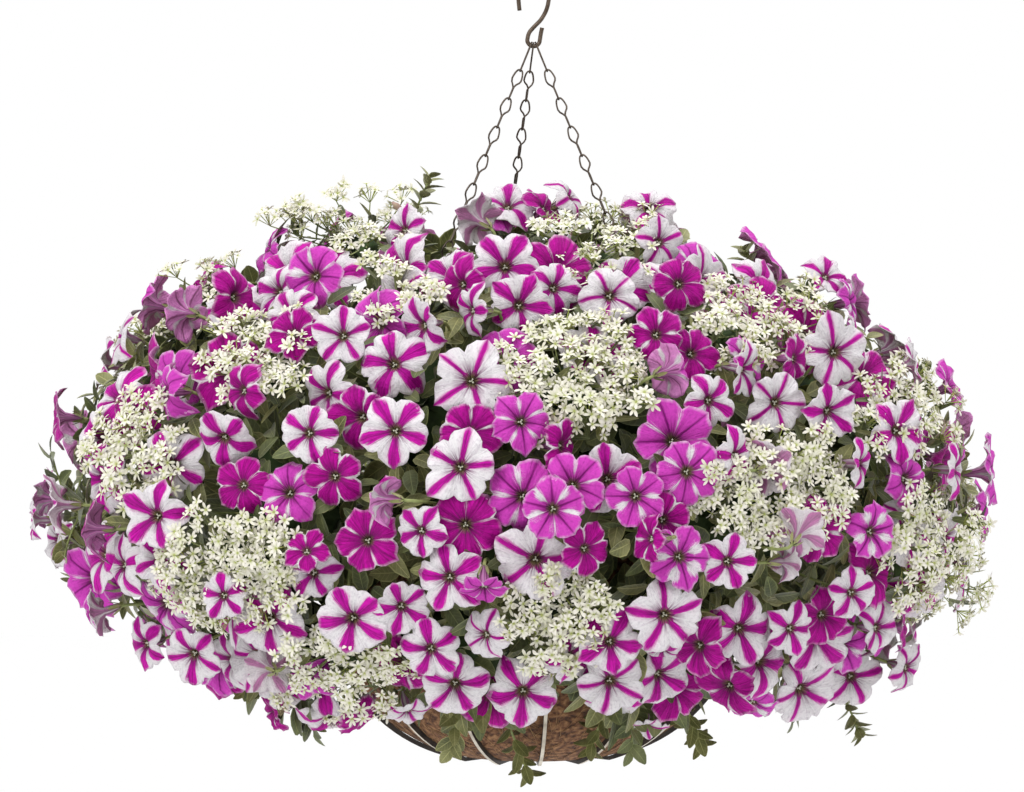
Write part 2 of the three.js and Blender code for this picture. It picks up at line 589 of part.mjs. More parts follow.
// A five-lobed flower whose tube narrows back to a stalk. The stalk ends in a point inside its stem;
// where the stem lies before the flower, the stalk first runs back and then bends round to it.
function flower({ at, face, spin, radius }, root, form = PETUNIA) {
  const side = (Math.abs(face.z) < 0.9 ? vec(0, 0, 1) : vec(1, 0, 0)).cross(face).normalize();
  const top = face.clone().cross(side);
  const put = (reach, turn, out) => at.clone().addScaledVector(side, reach * Math.cos(turn))
    .addScaledVector(top, reach * Math.sin(turn)).addScaledVector(face, out);
  const deep = radius * form.throat;
  const neck = at.clone().addScaledVector(face, -deep - form.tube);
  const away = root.clone().sub(neck);
  const bent = away.angleTo(face.clone().negate()) > STALK_BEND;
  const stub = neck.clone().addScaledVector(face, -STALK_BACK);
  const end = bent ? stub : root.clone().add(away.setLength(STALK_SINK));
  const corners = [put(0, 0, -deep)];
  const rim = 2 * LOBES;
  for (let edge = 0; edge < rim; edge += 1) {
    const tip = edge % 2 === 0;
    const turn = spin + (edge * Math.PI) / LOBES;
    corners.push(tip ? put(radius, turn, -radius * form.droop) : put(radius * form.notch, turn, 0));
  }
  for (let corner = 0; corner < 3; corner += 1) {
    corners.push(put(form.neck, spin + Math.PI / LOBES + (corner * 2 * Math.PI) / 3, -deep - form.tube));
  }
  corners.push(end);
  const faces = [];
  const ring = (corner) => rim + 1 + (corner % 3);
  for (let edge = 0; edge < rim; edge += 1) {
    const next = ((edge + 1) % rim) + 1;
    faces.push([0, edge + 1, next], [next, edge + 1, ring(Math.floor((((edge + 1) % rim) * 3) / rim))]);
  }
  for (let corner = 0; corner < 3; corner += 1) {
    faces.push([[4, 7, 10][corner], ring(corner), ring(corner + 1)]);
    faces.push([ring(corner + 1), ring(corner), rim + 4]);
  }
  const head = facets(corners, faces);
  if (!bent) {
    return head;
  }
  const knee = neck.clone().addScaledVector(face, -STALK_KNEE);
  const start = neck.clone().addScaledVector(face, -2);
  return head.add(solidOf(rod(new THREE.QuadraticBezierCurve3(start, knee, root), STALK_WIRE, 3, 3)));
}

// A leaf is a four-cornered blade, 1 mm thick and folded along its midrib, sunk into its stem at the foot
function leaf(foot, way, length, width, roll) {
  const widest = 0.45;
  const fold = 3;
  const side = way.clone().cross(vec(0, 0, 1)).normalize().applyAxisAngle(way, roll);
  const up = side.clone().cross(way);
  const spot = (along, out, lift) => foot.clone().addScaledVector(way, along * length)
    .addScaledVector(side, out * width).addScaledVector(up, lift);
  const top = [spot(0, 0, 0.5), spot(widest, -0.5, fold), spot(1, 0, 0), spot(widest, 0.5, fold)];
  const low = top.map((corner) => corner.clone().addScaledVector(up, -1));
  const faces = [[0, 2, 1], [0, 3, 2], [4, 5, 6], [4, 6, 7]];
  for (let edge = 0; edge < 4; edge += 1) {
    const next = (edge + 1) % 4;
    faces.push([edge, next, 4 + edge], [next, 4 + next, 4 + edge]);
  }
  return facets([...top, ...low], faces);
}

// A stem's curve from its root in the soil up and over to its hub: it hangs over the rim to a low
// hub, and leans out to a high one. Its root may stand some way round from below its hub.
function stemCurve(hub, rootRadius, swing = 0) {
  const out = vec(hub.x, hub.y, 0).normalize();
  const reach = Math.hypot(hub.x, hub.y);
  const root = out.clone().multiplyScalar(rootRadius).applyAxisAngle(vec(0, 0, 1), rad(swing));
  root.z = SOIL_Z - STEM_ROOT;
  const lean = hub.z < RIM_Z + ARCH.hangBelow ? ARCH.hang : ARCH.stand;
  const bend = out.clone().multiplyScalar(rootRadius + (reach - rootRadius) * lean);
  bend.z = Math.max(hub.z + ARCH.over, RIM_Z + ARCH.high);
  return new THREE.QuadraticBezierCurve3(root, bend, hub);
}

// The stems' hubs, from the tiers of the fountain
function hubList() {
  return TIERS.flatMap((tier) => Array.from({ length: tier.count }, (_, index) => {
    const even = rad(tier.start + (360 * index) / tier.count);
    const azimuth = even - FRONT_CROWDING * Math.sin(even);
    return { hub: mound(azimuth, rad(tier.rise), tier.reach), root: tier.root, blooms: [], tips: [] };
  }));
}

function nearestHub(hubs, point) {
  return hubs.reduce((best, hub) => (hub.hub.distanceTo(point) < best.hub.distanceTo(point) ? hub : best));
}

// The plain hole in the soil that a stem stands in
function stemHole(curve) {
  const start = curve.getPoint(0);
  const way = curve.getTangent(0);
  const top = start.clone().addScaledVector(way, 60);
  const line = new THREE.LineCurve3(start.addScaledVector(way, -GAP), top);
  return solidOf(rod(line, STEM * 1.9, 4, 1));
}

// The dense small foliage that flowers and leaves stand out of, flattened along its outward way
function leafyCore(middle, outward, wide, tall, deep) {
  const heart = new THREE.IcosahedronGeometry(1, 0);
  heart.scale(wide, deep, tall);
  heart.rotateX(-Math.asin(outward.z)).rotateZ(Math.atan2(outward.x, -outward.y));
  return heart.translate(middle.x, middle.y, middle.z);
}

// The two ways across a face: level, and up along it
function acrossFace(face) {
  const side = vec(0, 0, 1).cross(face).normalize();
  return { side, top: face.clone().cross(side) };
}

// Where a bloom's stalk grows from: the place in the middle layer of the core that it lies over
function stalkRoot({ hub, outward, across }, at) {
  const spread = at.clone().sub(hub);
  spread.addScaledVector(outward, -spread.dot(outward)).clampLength(0, across * CORE.root);
  return spread.add(hub);
}

// A petunia stem with its leaves, blooms and bare tips, all one growth
function petuniaSolid({ hub, root, blooms, tips }, draw) {
  let plant = solidOf(rod(stemCurve(hub, root), STEM, 3, 5));
  const outward = hub.clone().sub(vec(MOUND.x, 0, MOUND.z)).normalize();
  const across = Math.min(CORE.least + CORE.more * blooms.length, CORE.most);
  plant = plant.add(solidOf(leafyCore(hub, outward, across, across * CORE.tall, CORE.deep)));
  blooms.forEach((bloom) => {
    plant = plant.add(flower(bloom, stalkRoot({ hub, outward, across }, bloom.at)));
  });
  const { side, top } = acrossFace(outward);
  for (let one = 0; one < LEAVES.count; one += 1) {
    const turn = ((one + 0.6 * draw()) * 2 * Math.PI) / LEAVES.count;
    const spread = side.clone().multiplyScalar(Math.cos(turn)).addScaledVector(top, Math.sin(turn));
    const foot = hub.clone().addScaledVector(spread, across * LEAVES.foot);
    const way = spread.addScaledVector(outward, LEAVES.out * (1 + draw())).normalize();
    plant = plant.add(leaf(foot, way, LEAVES.length + LEAVES.more * draw(), LEAVES.width, 3 * draw()));
  }
  tips.forEach((tip) => {
    plant = plant.add(sprig(hub, tip, draw));
  });
  return plant;
}

// A bare leafy tip: a thin stem with small leaves at its end, on either side by turns
function sprig(hub, tip, draw) {
  const bend = hub.clone().lerp(tip, 0.5);
  bend.z += SPRIG.arch;
  const curve = new THREE.QuadraticBezierCurve3(hub, bend, tip);
  let shoot = solidOf(rod(curve, SPRIG.wire, 3, 3));
  for (let one = 0; one < SPRIG.leaves; one += 1) {
    const share = SPRIG.first + SPRIG.apart * one;
    const splay = (one % 2 ? 1 : -1) * (0.9 - 0.15 * one);
    const way = curve.getTangent(share).applyAxisAngle(vec(0, 1, 0), splay);
    const length = SPRIG.length + SPRIG.more * draw();
    shoot = shoot.add(leaf(curve.getPoint(share), way, length, SPRIG.width, draw()));
  }
  return shoot;
}

// The middle of a spray's leafy core, behind its florets
function sprayCore({ at, face }) {
  return at.clone().addScaledVector(face, -SPRAY.behind);
}

// A spray: a slim leafy core, with heads of florets standing out of it on stalks
function spraySolid({ at, wide, tall, face, spot, root }, draw) {
  const core = sprayCore({ at, face });
  let spray = solidOf(rod(stemCurve(core, root, SPRAY_ROOT.swing), SPRAY_STEM, 3, 5));
  spray = spray.add(solidOf(leafyCore(core, face, wide * SPRAY.core, tall * SPRAY.core, SPRAY.coreDeep)));
  const heads = Math.max(3, Math.round((wide * tall) / SPRAY.room));
  for (let head = 0; head < heads; head += 1) {
    const reach = Math.sqrt((head + 0.4) / heads);
    const turn = head * GOLDEN_TURN;
    const place = spot(reach * Math.cos(turn), reach * Math.sin(turn));
    const out = outwardAt(place);
    const lean = facing(out.azimuth, out.rise);
    place.addScaledVector(lean, -SPRAY.inward);
    const foot = core.clone().lerp(place, SPRAY.sunk).addScaledVector(face, -4);
    spray = spray.add(flower({ at: place, face: lean, spin: draw() * 6, radius: FLORET_HEAD }, foot, FLORET));
  }
  return spray;
}

function sprayList() {
  const list = SPRAYS.map(([column, row, wide, tall]) => {
    const { at, size } = onMound(column, row);
    const { azimuth, rise } = outwardAt(at);
    const spot = (right, down) => onMound(column + wide * right, row + tall * down).at;
    return { at, wide: wide * size, tall: tall * size, face: facing(azimuth * 0.9, rise * 0.8), spot };
  });
  for (let one = 0; one < BACK_SPRAY.count; one += 1) {
    const azimuth = rad(BACK_SPRAY.from + BACK_SPRAY.over * (one / (BACK_SPRAY.count - 1)));
    const level = rad(one % 2 ? BACK_SPRAY.high : BACK_SPRAY.low);
    const wide = rad(BACK_SPRAY.wide);
    const tall = rad(BACK_SPRAY.tall);
    list.push({
      at: mound(azimuth, level),
      wide: MOUND.deep * wide,
      tall: MOUND.up * tall,
      face: facing(azimuth, level * 0.8),
      spot: (right, down) => mound(azimuth + wide * right, level - tall * down),
    });
  }
  return list.map((spray) => {
    const { rise } = outwardAt(spray.at);
    return { ...spray, root: SPRAY_ROOT.high + (SPRAY_ROOT.low - SPRAY_ROOT.high) * (0.5 - rise / Math.PI) };
  });
}

// Two solids that would cross are parted: one is cut back 0.3 mm from where they meet
const GROW = solidOf(new THREE.TetrahedronGeometry(3 * GAP, 0));
const MARK = 1.2;
const ROOT_WORTH = 1e6;
const BLOOM_WORTH = 1e4;

function cutBack(keep, cut) {
  const shared = keep.intersect(cut);
  if (shared.isEmpty() || shared.volume() < 1e-6) {
    return cut;
  }
  const rooms = shared.decompose().map((piece) => piece.hull().minkowskiSum(GROW).hull());
  return rooms.reduce((rest, room) => rest.subtract(room), cut);
}

// A small mark at a point, to tell whether a plant still reaches it
function markAt(point) {
  return solidOf(new THREE.TetrahedronGeometry(MARK, 0).translate(point.x, point.y, point.z));
}

// A plant's worth: its volume, its root in the soil, and each bloom that it still carries
function worth({ root, necks }, solid) {
  const rooted = solid.intersect(root).isEmpty() ? 0 : ROOT_WORTH;
  const carried = necks.filter((neck) => !solid.intersect(neck).isEmpty()).length;
  return solid.volume() + rooted + BLOOM_WORTH * carried;
}

// Parts two plants that cross, by cutting the one of them that loses less
function part(first, second) {
  if (first.solid.intersect(second.solid).isEmpty()) {
    return;
  }
  const choices = [[first, second], [second, first]].map(([keep, cut]) => {
    const solid = whole(cutBack(keep.solid, cut.solid));
    return { cut, solid, loss: worth(cut, cut.solid) - worth(cut, solid) };
  });
  const [{ cut, solid }] = choices.sort((one, other) => one.loss - other.loss);
  cut.solid = solid;
}

const group = new THREE.Group();

function addNode(name, geometry, finish) {
  const mesh = new THREE.Mesh(geometry, new THREE.MeshStandardMaterial(finish));
  mesh.name = name;
  group.add(mesh);
  return mesh;
}

const two = (number) => String(number).padStart(2, '0');

// The made pieces
addNode('hook', hookGeometry(), COLOURS.hook);
Object.keys(CHAIN_RIM_DEG).forEach((side) => {
  addNode(`chain_${side}`, geometryOf(chainSolid(side)), COLOURS.chain);
});
addNode('rim_rod', rimGeometry(), COLOURS.strap).position.z = RIM_Z;
for (let rib = 0; rib < RIB_COUNT; rib += 1) {
  const mesh = addNode(`rib_${two(rib + 1)}`, ribGeometry(), COLOURS.strap);
  mesh.rotation.z = rad(-90 + RIB_FIRST_DEG + (360 * rib) / RIB_COUNT);
}
addNode('base_hoop', stood(baseHoopGeometry()), COLOURS.strap);
addNode('coco_liner', stood(linerGeometry()), COLOURS.liner);

// The plants, parted from the chains and from each other
const hubs = hubList();
bloomList().forEach((bloom) => nearestHub(hubs, bloom.at).blooms.push(bloom));
SPRIG_TIPS.forEach(([column, row, depth]) => {
  const { eye, look } = sightLine(column, row);
  const tip = eye.clone().addScaledVector(look, (depth - eye.y) / look.y);
  nearestHub(hubs, tip).tips.push(tip);
});
const growth = sequence(23);
const sprays = sprayList();
const plants = [
  ...hubs.map((hub) => {
    const necks = hub.blooms.map(({ at, radius, face }) => (
      markAt(at.clone().addScaledVector(face, -radius * PETUNIA.throat - PETUNIA.tube))));
    return { curve: stemCurve(hub.hub, hub.root), solid: petuniaSolid(hub, growth), necks };
  }),
  ...sprays.map((spray) => {
    const curve = stemCurve(sprayCore(spray), spray.root, SPRAY_ROOT.swing);
    return { curve, solid: spraySolid(spray, growth), necks: [] };
  }),
];
const rooms = Object.keys(CHAIN_RIM_DEG).map(chainRoom);
plants.forEach((plant) => {
  plant.root = markAt(plant.curve.getPoint(0.01));
  plant.solid = whole(rooms.reduce((rest, room) => rest.subtract(room), plant.solid));
});
for (let round = 0; round < 2; round += 1) {
  plants.forEach((plant, index) => {
    plants.slice(index + 1).forEach((other) => part(plant, other));
  });
}

// The soil has a plain hole for each stem
const bed = solidOf(stood(soilGeometry()));
const soil = plants.reduce((rest, { curve }) => rest.subtract(stemHole(curve)), bed);
addNode('soil', geometryOf(soil), COLOURS.soil);
plants.forEach(({ solid }, index) => {
  const spray = index - hubs.length;
  const name = spray < 0 ? `petunia_${two(index + 1)}` : `floret_spray_${two(spray + 1)}`;
  addNode(name, geometryOf(solid), spray < 0 ? COLOURS.petunia : COLOURS.floret);
});

export default group;
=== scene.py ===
"""A petunia hanging basket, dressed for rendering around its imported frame."""

import math

import bpy
import numpy as np
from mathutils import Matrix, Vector


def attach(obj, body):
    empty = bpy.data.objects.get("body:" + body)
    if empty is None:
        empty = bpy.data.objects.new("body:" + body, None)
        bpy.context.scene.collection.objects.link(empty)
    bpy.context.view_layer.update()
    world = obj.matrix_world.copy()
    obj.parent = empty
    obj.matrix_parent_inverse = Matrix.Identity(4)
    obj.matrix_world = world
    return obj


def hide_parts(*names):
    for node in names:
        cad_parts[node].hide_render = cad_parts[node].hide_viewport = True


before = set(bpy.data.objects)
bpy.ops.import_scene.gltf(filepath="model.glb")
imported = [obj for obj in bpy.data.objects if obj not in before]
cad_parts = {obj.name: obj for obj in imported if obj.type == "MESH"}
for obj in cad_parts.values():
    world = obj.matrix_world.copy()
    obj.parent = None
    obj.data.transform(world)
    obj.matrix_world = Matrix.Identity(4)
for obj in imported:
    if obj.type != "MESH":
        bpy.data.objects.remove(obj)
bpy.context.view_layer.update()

# The view, shared with the part: 1024 x 792, millimetres, 3 degrees down
COLUMNS = 1024
ROWS = 792
AXIS_COLUMN = 533.5
SEAT_ROW = -19
MM_PER_STEP = 0.9
VIEW_DISTANCE = 3200
VIEW_TILT = math.radians(3)
SENSOR = 36
FOCAL = SENSOR * VIEW_DISTANCE / (COLUMNS * MM_PER_STEP)
METRES_PER_MM = 0.001

# The hook, the basket and the chains, as in the part
HOOK_WIRE = 1.9
CROOK_RADIUS = 13.6
CROOK_Z = HOOK_WIRE - CROOK_RADIUS
EYE_RADIUS = 5.6
EYE_Z = -54.3
RIM_RADIUS = 203
RIM_ROD = 3
RIM_Z = -484
RIB_COUNT = 14
RIB_FIRST_DEG = 3.4
RIB_DEPTH = 6
RIB_FOOT = 3
RIB_THICKNESS = 3
BASE_HOOP_RADIUS = 30
GAP = 0.3
BOWL_RADIUS = 196
BOWL_DEPTH = 218
BOWL_POWER = 2.5
BOWL_FLAT = 208.4
LINER_WALL = 8
LINER_LIP = -2
SOIL_Z = -502
SOIL_TOP = [(150, 4), (110, 5.6), (70, 7), (30, 7.6), (0.01, 8)]
CHAIN_WIRE = 0.65
CHAIN_LINKS = 17
CHAIN_RIM_DEG = {"left": -120.5, "rear": -16, "right": 120.5}
CHAIN_EYE_DEG = {"left": -36, "rear": 0, "right": 36}

# The mound that the throats of the blooms lie on, and the stems below it
MOUND = {"x": -18, "z": -470, "across": 430, "deep": 398, "up": 266, "down": 214}
LAYER_STEP = 13
LAYER_DEPTHS = [0, -1, 1, -2, 2, -3]
LAYER_NEAR = 0.85
TIERS = [
    {"count": 3, "rise": 60, "reach": 0.62, "root": 46, "start": 20},
    {"count": 5, "rise": 32, "reach": 0.66, "root": 88, "start": 40},
    {"count": 6, "rise": 3, "reach": 0.7, "root": 128, "start": -2},
    {"count": 6, "rise": -38, "reach": 0.76, "root": 162, "start": 44},
]
FRONT_CROWDING = 0.45
ARCH = {"hang_below": 40, "hang": 1.02, "stand": 0.35, "over": 30, "high": 150}
CORE = {"least": 44, "more": 3, "most": 80, "tall": 0.82, "deep": 34, "root": 0.5}
LEAVES = {"count": 3, "foot": 0.5, "out": 0.5, "length": 62, "more": 16}
LOBES = 5
THROAT = 0.36
STEM_ROOT = 14

# Front blooms: column, row and width in the view, colour, then degrees to the viewer's right and
# degrees up where a bloom doesn't face straight out
LOBE_REACH = 1.06
STRAIGHT = {"yaw": 0.55, "pitch": 0.3, "swing": 10}
BLOOMS = [
    (508, 203, 60, "S", 5, 55), (489, 200, 48, "L", -20, 65), (547, 192, 50, "M", 60, 40),
    (572, 196, 45, "W", 70, 30), (475, 219, 52, "W", -140, 20), (402, 229, 50, "S", -40, 20),
    (267, 247, 50, "L", -75, 30), (313, 275, 63, "L"), (238, 297, 60, "M", 55, 5),
    (286, 302, 57, "S"), (293, 333, 52, "M"), (342, 335, 58, "S"), (240, 391, 56, "M", -50, 0),
    (165, 392, 56, "L", -70, 0), (150, 305, 56, "L", -110, 10), (183, 312, 54, "L", -140, 5),
    (460, 285, 52, "M", -40, 0), (505, 265, 68, "S", 0, 18), (520, 292, 60, "S", 10, 8),
    (556, 274, 52, "S", 20, 10), (610, 295, 60, "W", 5, 12), (650, 207, 55, "S", 15, 40),
    (661, 242, 50, "W", 30, 10), (680, 283, 55, "M", 15, 15), (420, 327, 60, "S", -50, -10),
    (390, 352, 67, "S"), (469, 311, 50, "S", -60, 0), (472, 380, 76, "W"), (657, 334, 54, "M"),
    (697, 342, 53, "M"), (671, 370, 55, "L", 140, 10), (746, 370, 52, "S", 60, -10),
    (753, 347, 50, "L", 50, 20), (797, 359, 50, "M", 60, 0), (836, 352, 68, "W", 15, 5),
    (827, 275, 45, "S", 30, 40), (860, 289, 50, "L", 75, 10), (711, 401, 55, "S", 30, 0),
    (785, 394, 60, "W", 20, 0), (830, 412, 55, "S", 30, -10), (915, 364, 50, "W", 80, 10),
    (308, 433, 58, "S"), (395, 430, 66, "S"), (469, 425, 60, "M", 0, 10), (521, 421, 58, "L"),
    (566, 440, 55, "M", 60, 0), (679, 434, 77, "L"), (899, 430, 62, "S"), (223, 440, 60, "S", -15, -25),
    (738, 456, 55, "S", 50, 0), (777, 464, 55, "W", 150, 0), (863, 464, 50, "S", 60, 0),
    (921, 476, 58, "L", 45, 0), (958, 470, 55, "S", 70, 0), (328, 473, 57, "M"), (233, 482, 56, "M"),
    (460, 467, 70, "W"), (573, 485, 66, "L", 0, 10), (611, 476, 68, "S"), (636, 496, 58, "L"),
    (688, 472, 66, "L"), (523, 495, 70, "L"), (552, 510, 60, "L"), (380, 499, 50, "M", -120, 0),
    (56, 505, 55, "W", -95, 0), (33, 520, 40, "S", -80, 0), (89, 529, 56, "M", -100, 0),
    (154, 516, 67, "S"), (420, 531, 50, "S", -20, 0), (464, 526, 70, "M"), (362, 542, 60, "M"),
    (668, 520, 55, "M"), (644, 538, 45, "M", -60, 0), (800, 530, 55, "W", 160, 25), (830, 532, 65, "M"),
    (873, 532, 55, "L", 30, 0), (306, 550, 45, "M", -10, 30), (306, 579, 52, "S"),
    (107, 572, 60, "S", -55, 0), (147, 565, 60, "S", -20, 0), (586, 549, 52, "M", 20, 0),
    (536, 565, 77, "W"), (449, 578, 64, "S"), (485, 584, 45, "L", 0, -60), (680, 557, 61, "L"),
    (729, 562, 56, "S"), (797, 566, 40, "W", 120, 0), (853, 593, 50, "S", 20, 0),
    (223, 596, 45, "S", -10, 0), (98, 614, 45, "W", -100, -20), (261, 631, 75, "S"), (352, 620, 69, "S"),
    (399, 617, 55, "S", 10, -10), (431, 650, 58, "S", 0, -10), (484, 636, 50, "W", -30, -10),
    (610, 643, 62, "S"), (666, 617, 72, "W"), (697, 647, 60, "M", -30, -10), (747, 642, 66, "S"),
    (792, 630, 52, "S"), (833, 627, 59, "M"), (880, 628, 55, "W", 50, 0), (904, 628, 45, "M", 80, 0),
    (192, 656, 61, "S"), (143, 645, 52, "S", -50, -10), (268, 668, 50, "S", -160, 0),
    (575, 670, 55, "S", 50, -10), (611, 683, 67, "W"), (665, 667, 52, "S", -10, -70),
    (455, 686, 67, "S"), (523, 693, 68, "S", 0, -10), (726, 688, 62, "M", -40, -20),
    (752, 706, 52, "L", -10, -50), (804, 692, 71, "W"), (853, 678, 58, "W", 20, -10),
    (909, 669, 50, "W", 50, -10), (646, 728, 40, "W", 0, -60), (330, 722, 65, "S", 5, -60),
    (362, 718, 50, "M", 60, -40), (271, 712, 45, "M", -70, -20), (409, 714, 45, "W", 30, -60),
]

# The blooms that the viewer can't see: degrees round the back, levels as sines, sizes and ways
BACK = {"blooms": 74, "from": 80, "over": 200, "low": -0.62, "high": 0.97, "radius": 26, "more": 7,
        "swing": 50, "lift": 0.6, "nod": 30}
GOLDEN_SHARE = 0.618034
GOLDEN_TURN = 2.39996

# The blooms half hidden in the gaps between the front ones
FILL = {"tries": 900, "over": 140, "low": -0.75, "high": 0.9, "radius": 27, "more": 6, "yaw": 0.8,
        "swing": 60, "lift": 0.5, "nod": 40, "apart": 0.78, "clear": 0.8, "behind": 22}

# Sprays: column, row, half width and half height in the view
SPRAYS = [
    (345, 212, 84, 30), (390, 282, 42, 30), (250, 348, 54, 50), (122, 440, 48, 58), (222, 575, 76, 62),
    (335, 680, 78, 46), (558, 628, 58, 52), (572, 368, 76, 64), (600, 228, 64, 42), (762, 310, 66, 46),
    (780, 488, 78, 62), (915, 402, 52, 48), (946, 560, 54, 76), (200, 268, 34, 24),
]
BACK_SPRAY = {"count": 4, "from": 104, "over": 152, "wide": 9, "tall": 12, "high": 38, "low": -6}
SPRAY_ROOT = {"high": 66, "low": 150, "swing": 10}
SPRAY = {"behind": 34, "core_share": 0.42, "core_deep": 15.4 * 0.8, "yaw": 0.9, "lift": 0.8}

# Tips of the leafy shoots that stand out of the mound: column, row and depth behind the axis
SPRIG_TIPS = [
    (527, 772, -150), (590, 748, -150), (700, 742, -120), (860, 734, -60), (72, 578, 20),
    (430, 178, -40), (745, 250, -30), (246, 690, -60),
]

# How fine the dressed metal, liner and soil are
LINK_STEPS = 36
LINK_GAUGE = 0.85
LINK = {"wide": 4.5, "narrow": 2.3, "last_wide": 5.0, "last_narrow": 4.6, "neck": (0.3, 0.62),
        "head_bow": 0.75, "foot_bow": 0.4}
RIB_STEPS = 26
ROD_SIDES = 24
ROUND_STEPS = {"rim": 160, "hoop": 64, "liner": 150, "soil": 90}
LINER_STRANDS = 1500
STRAND = {"from": 4, "over": 196, "crowding": 0.9, "slant": 1.2, "short": 10, "long": 34, "bend": 190,
          "lift": 0.25, "gauge": [0.14, 0.26, 0.26, 0.12]}
LINER_ROUGHNESS = 0.45
CRUMB = 0.9

# How fine the dressed plant is, and the ranges that its draws come from
STEEP = 0.9
STEM_STEPS = 14
PETAL_STEPS = 10
PLAIN_PETAL_STEPS = 8
FRONT_RINGS = [0.0, 0.06, 0.13, 0.2, 0.3, 0.44, 0.6, 0.76, 0.9, 1.0]
BACK_RINGS = [1.0, 0.85, 0.6, 0.36]
TUBE_PLACES = [0.36, 0.3, 0.26]
PETAL = {"notch": (0.72, 0.84), "blunt": (1.7, 2.8), "full": 0.62, "point": (0.02, 0.1), "point_width": 0.13,
         "uneven": 0.055, "jitter": 0.01, "ripple": 0.024, "ripples": 8, "tilt": 0.16, "curl": 0.22,
         "sway": (0.03, 0.1), "waves": 5.5, "droop": (-0.04, 0.22), "crumple": 0.009, "funnel": 0.24,
         "crease": 0.03, "crease_width": 0.14}
TUBE = {"length": 13, "throat": 0.17, "neck": 3.9, "foot": 2.8}
STALK = {"short": 14, "long": 30, "gauge": (1.5, 1.1), "steps": 6}
SEPAL = {"count": 5, "length": 12, "width": 3.6, "curl": 0.1, "rows": 4}
KNOBS = 4
BLADE = {"blunt": 0.85, "full": 0.62, "fold": 0.3}
CORE_SHARE = 0.85
CORE_LEAF = {"length": (24, 38), "width": (13, 20), "curl": (0.05, 0.3), "rows": 7}
SHADE_LEAF = {"length": (20, 31), "width": (11, 16), "curl": 0.2, "rows": 6, "behind": (24, 56),
              "aside": (2, 14)}
SHOOT_LEAF = {"size": (17, 25), "oval": 0.62, "curl": (0.08, 0.28), "rows": 7}
SPRIG_LEAF = {"size": (18, 26), "oval": 0.56, "curl": 0.18, "rows": 7}
SPRAY_LEAF = {"length": (16, 28), "width": (5, 9), "curl": 0.15, "rows": 5, "behind": (22, 34)}
MOSTLY = 0.6
LEAVES_ROUND_CORE = 52
LEAVES_BEHIND_BLOOM = 5
SHOOTS_BEHIND_BACK_BLOOM = 3
CLUSTER_ROOM = 300
CLUSTER_RADIUS = 12
CLUSTER_DEEP = 14
CLUSTER_DOME = 6
CLUSTER_SET_IN = (-16, 6)
CLUSTER_FLORETS = 9
FLORET_SIZE = (5.6, 7.6)
BRACTS = 6
BRACT_SHAPE = {"lift": (0.05, 0.7), "length": (0.7, 1.15), "width": 0.36}
SHOOT_LEAVES = 11
SPRIG_LEAVES = 15
SPRIG = {"arch": 18, "steps": 10, "gauge": (1.6, 0.9), "bare": 6}
BUD_PLACES = [0, 5, 11, 20, 25]
BUD_GAUGE = [0.8, 1.6, 2.6, 3.1, 0.7]
PART_SPRIG_DRAWS = 6  # what the part draws for its own sprig, so both stay in step
BACK_SHOOT = {"short": 58, "long": 84, "leaves": 8, "behind": (34, 46), "aside": 3}
SIDE_SHOOTS = {"count": 8, "foot": 0.6, "short": 90, "long": 150, "leaves": 11, "swell": 1.4,
               "lowest": -625}

# The studio, in metres and watts
LIGHTS = [("key", (-1.6, -2.6, 2.2), 2.2, 60), ("top", (0.6, 0.4, 2.6), 2.4, 40)]
LIGHTS_AIM = (0, 0, -0.45)
FLOOR_Z = -4.2
FLOOR_HALF = 30
CLIP_END = 100


def vec(x, y, z):
    return np.array([x, y, z], dtype=float)


def unit(v):
    return v / np.linalg.norm(v)


def smooth(low, high, value):
    share = np.clip((value - low) / (high - low), 0, 1)
    return share * share * (3 - 2 * share)


def ways_across(out, steep=None):
    """Two directions across another, the first one level, or across x where the other is steep."""
    upright = steep is None or abs(out[2]) < steep
    side = unit(np.cross(vec(0, 0, 1) if upright else vec(1, 0, 0), out))
    return side, np.cross(out, side)


def wheel(side, top, turn):
    """The direction at an angle round a wheel with its spokes along side and top."""
    return side * math.cos(turn) + top * math.sin(turn)


def sequence(seed):
    """One fixed sequence of draws, the same as the part's own."""
    state = [seed]

    def draw():
        state[0] = (state[0] * 1664525 + 1013904223) % 4294967296
        return state[0] / 4294967296

    return draw


def turned(v, axis, angle):
    """A direction turned about an axis."""
    axis = unit(axis)
    along = axis * np.dot(axis, v) * (1 - math.cos(angle))
    return v * math.cos(angle) + np.cross(axis, v) * math.sin(angle) + along


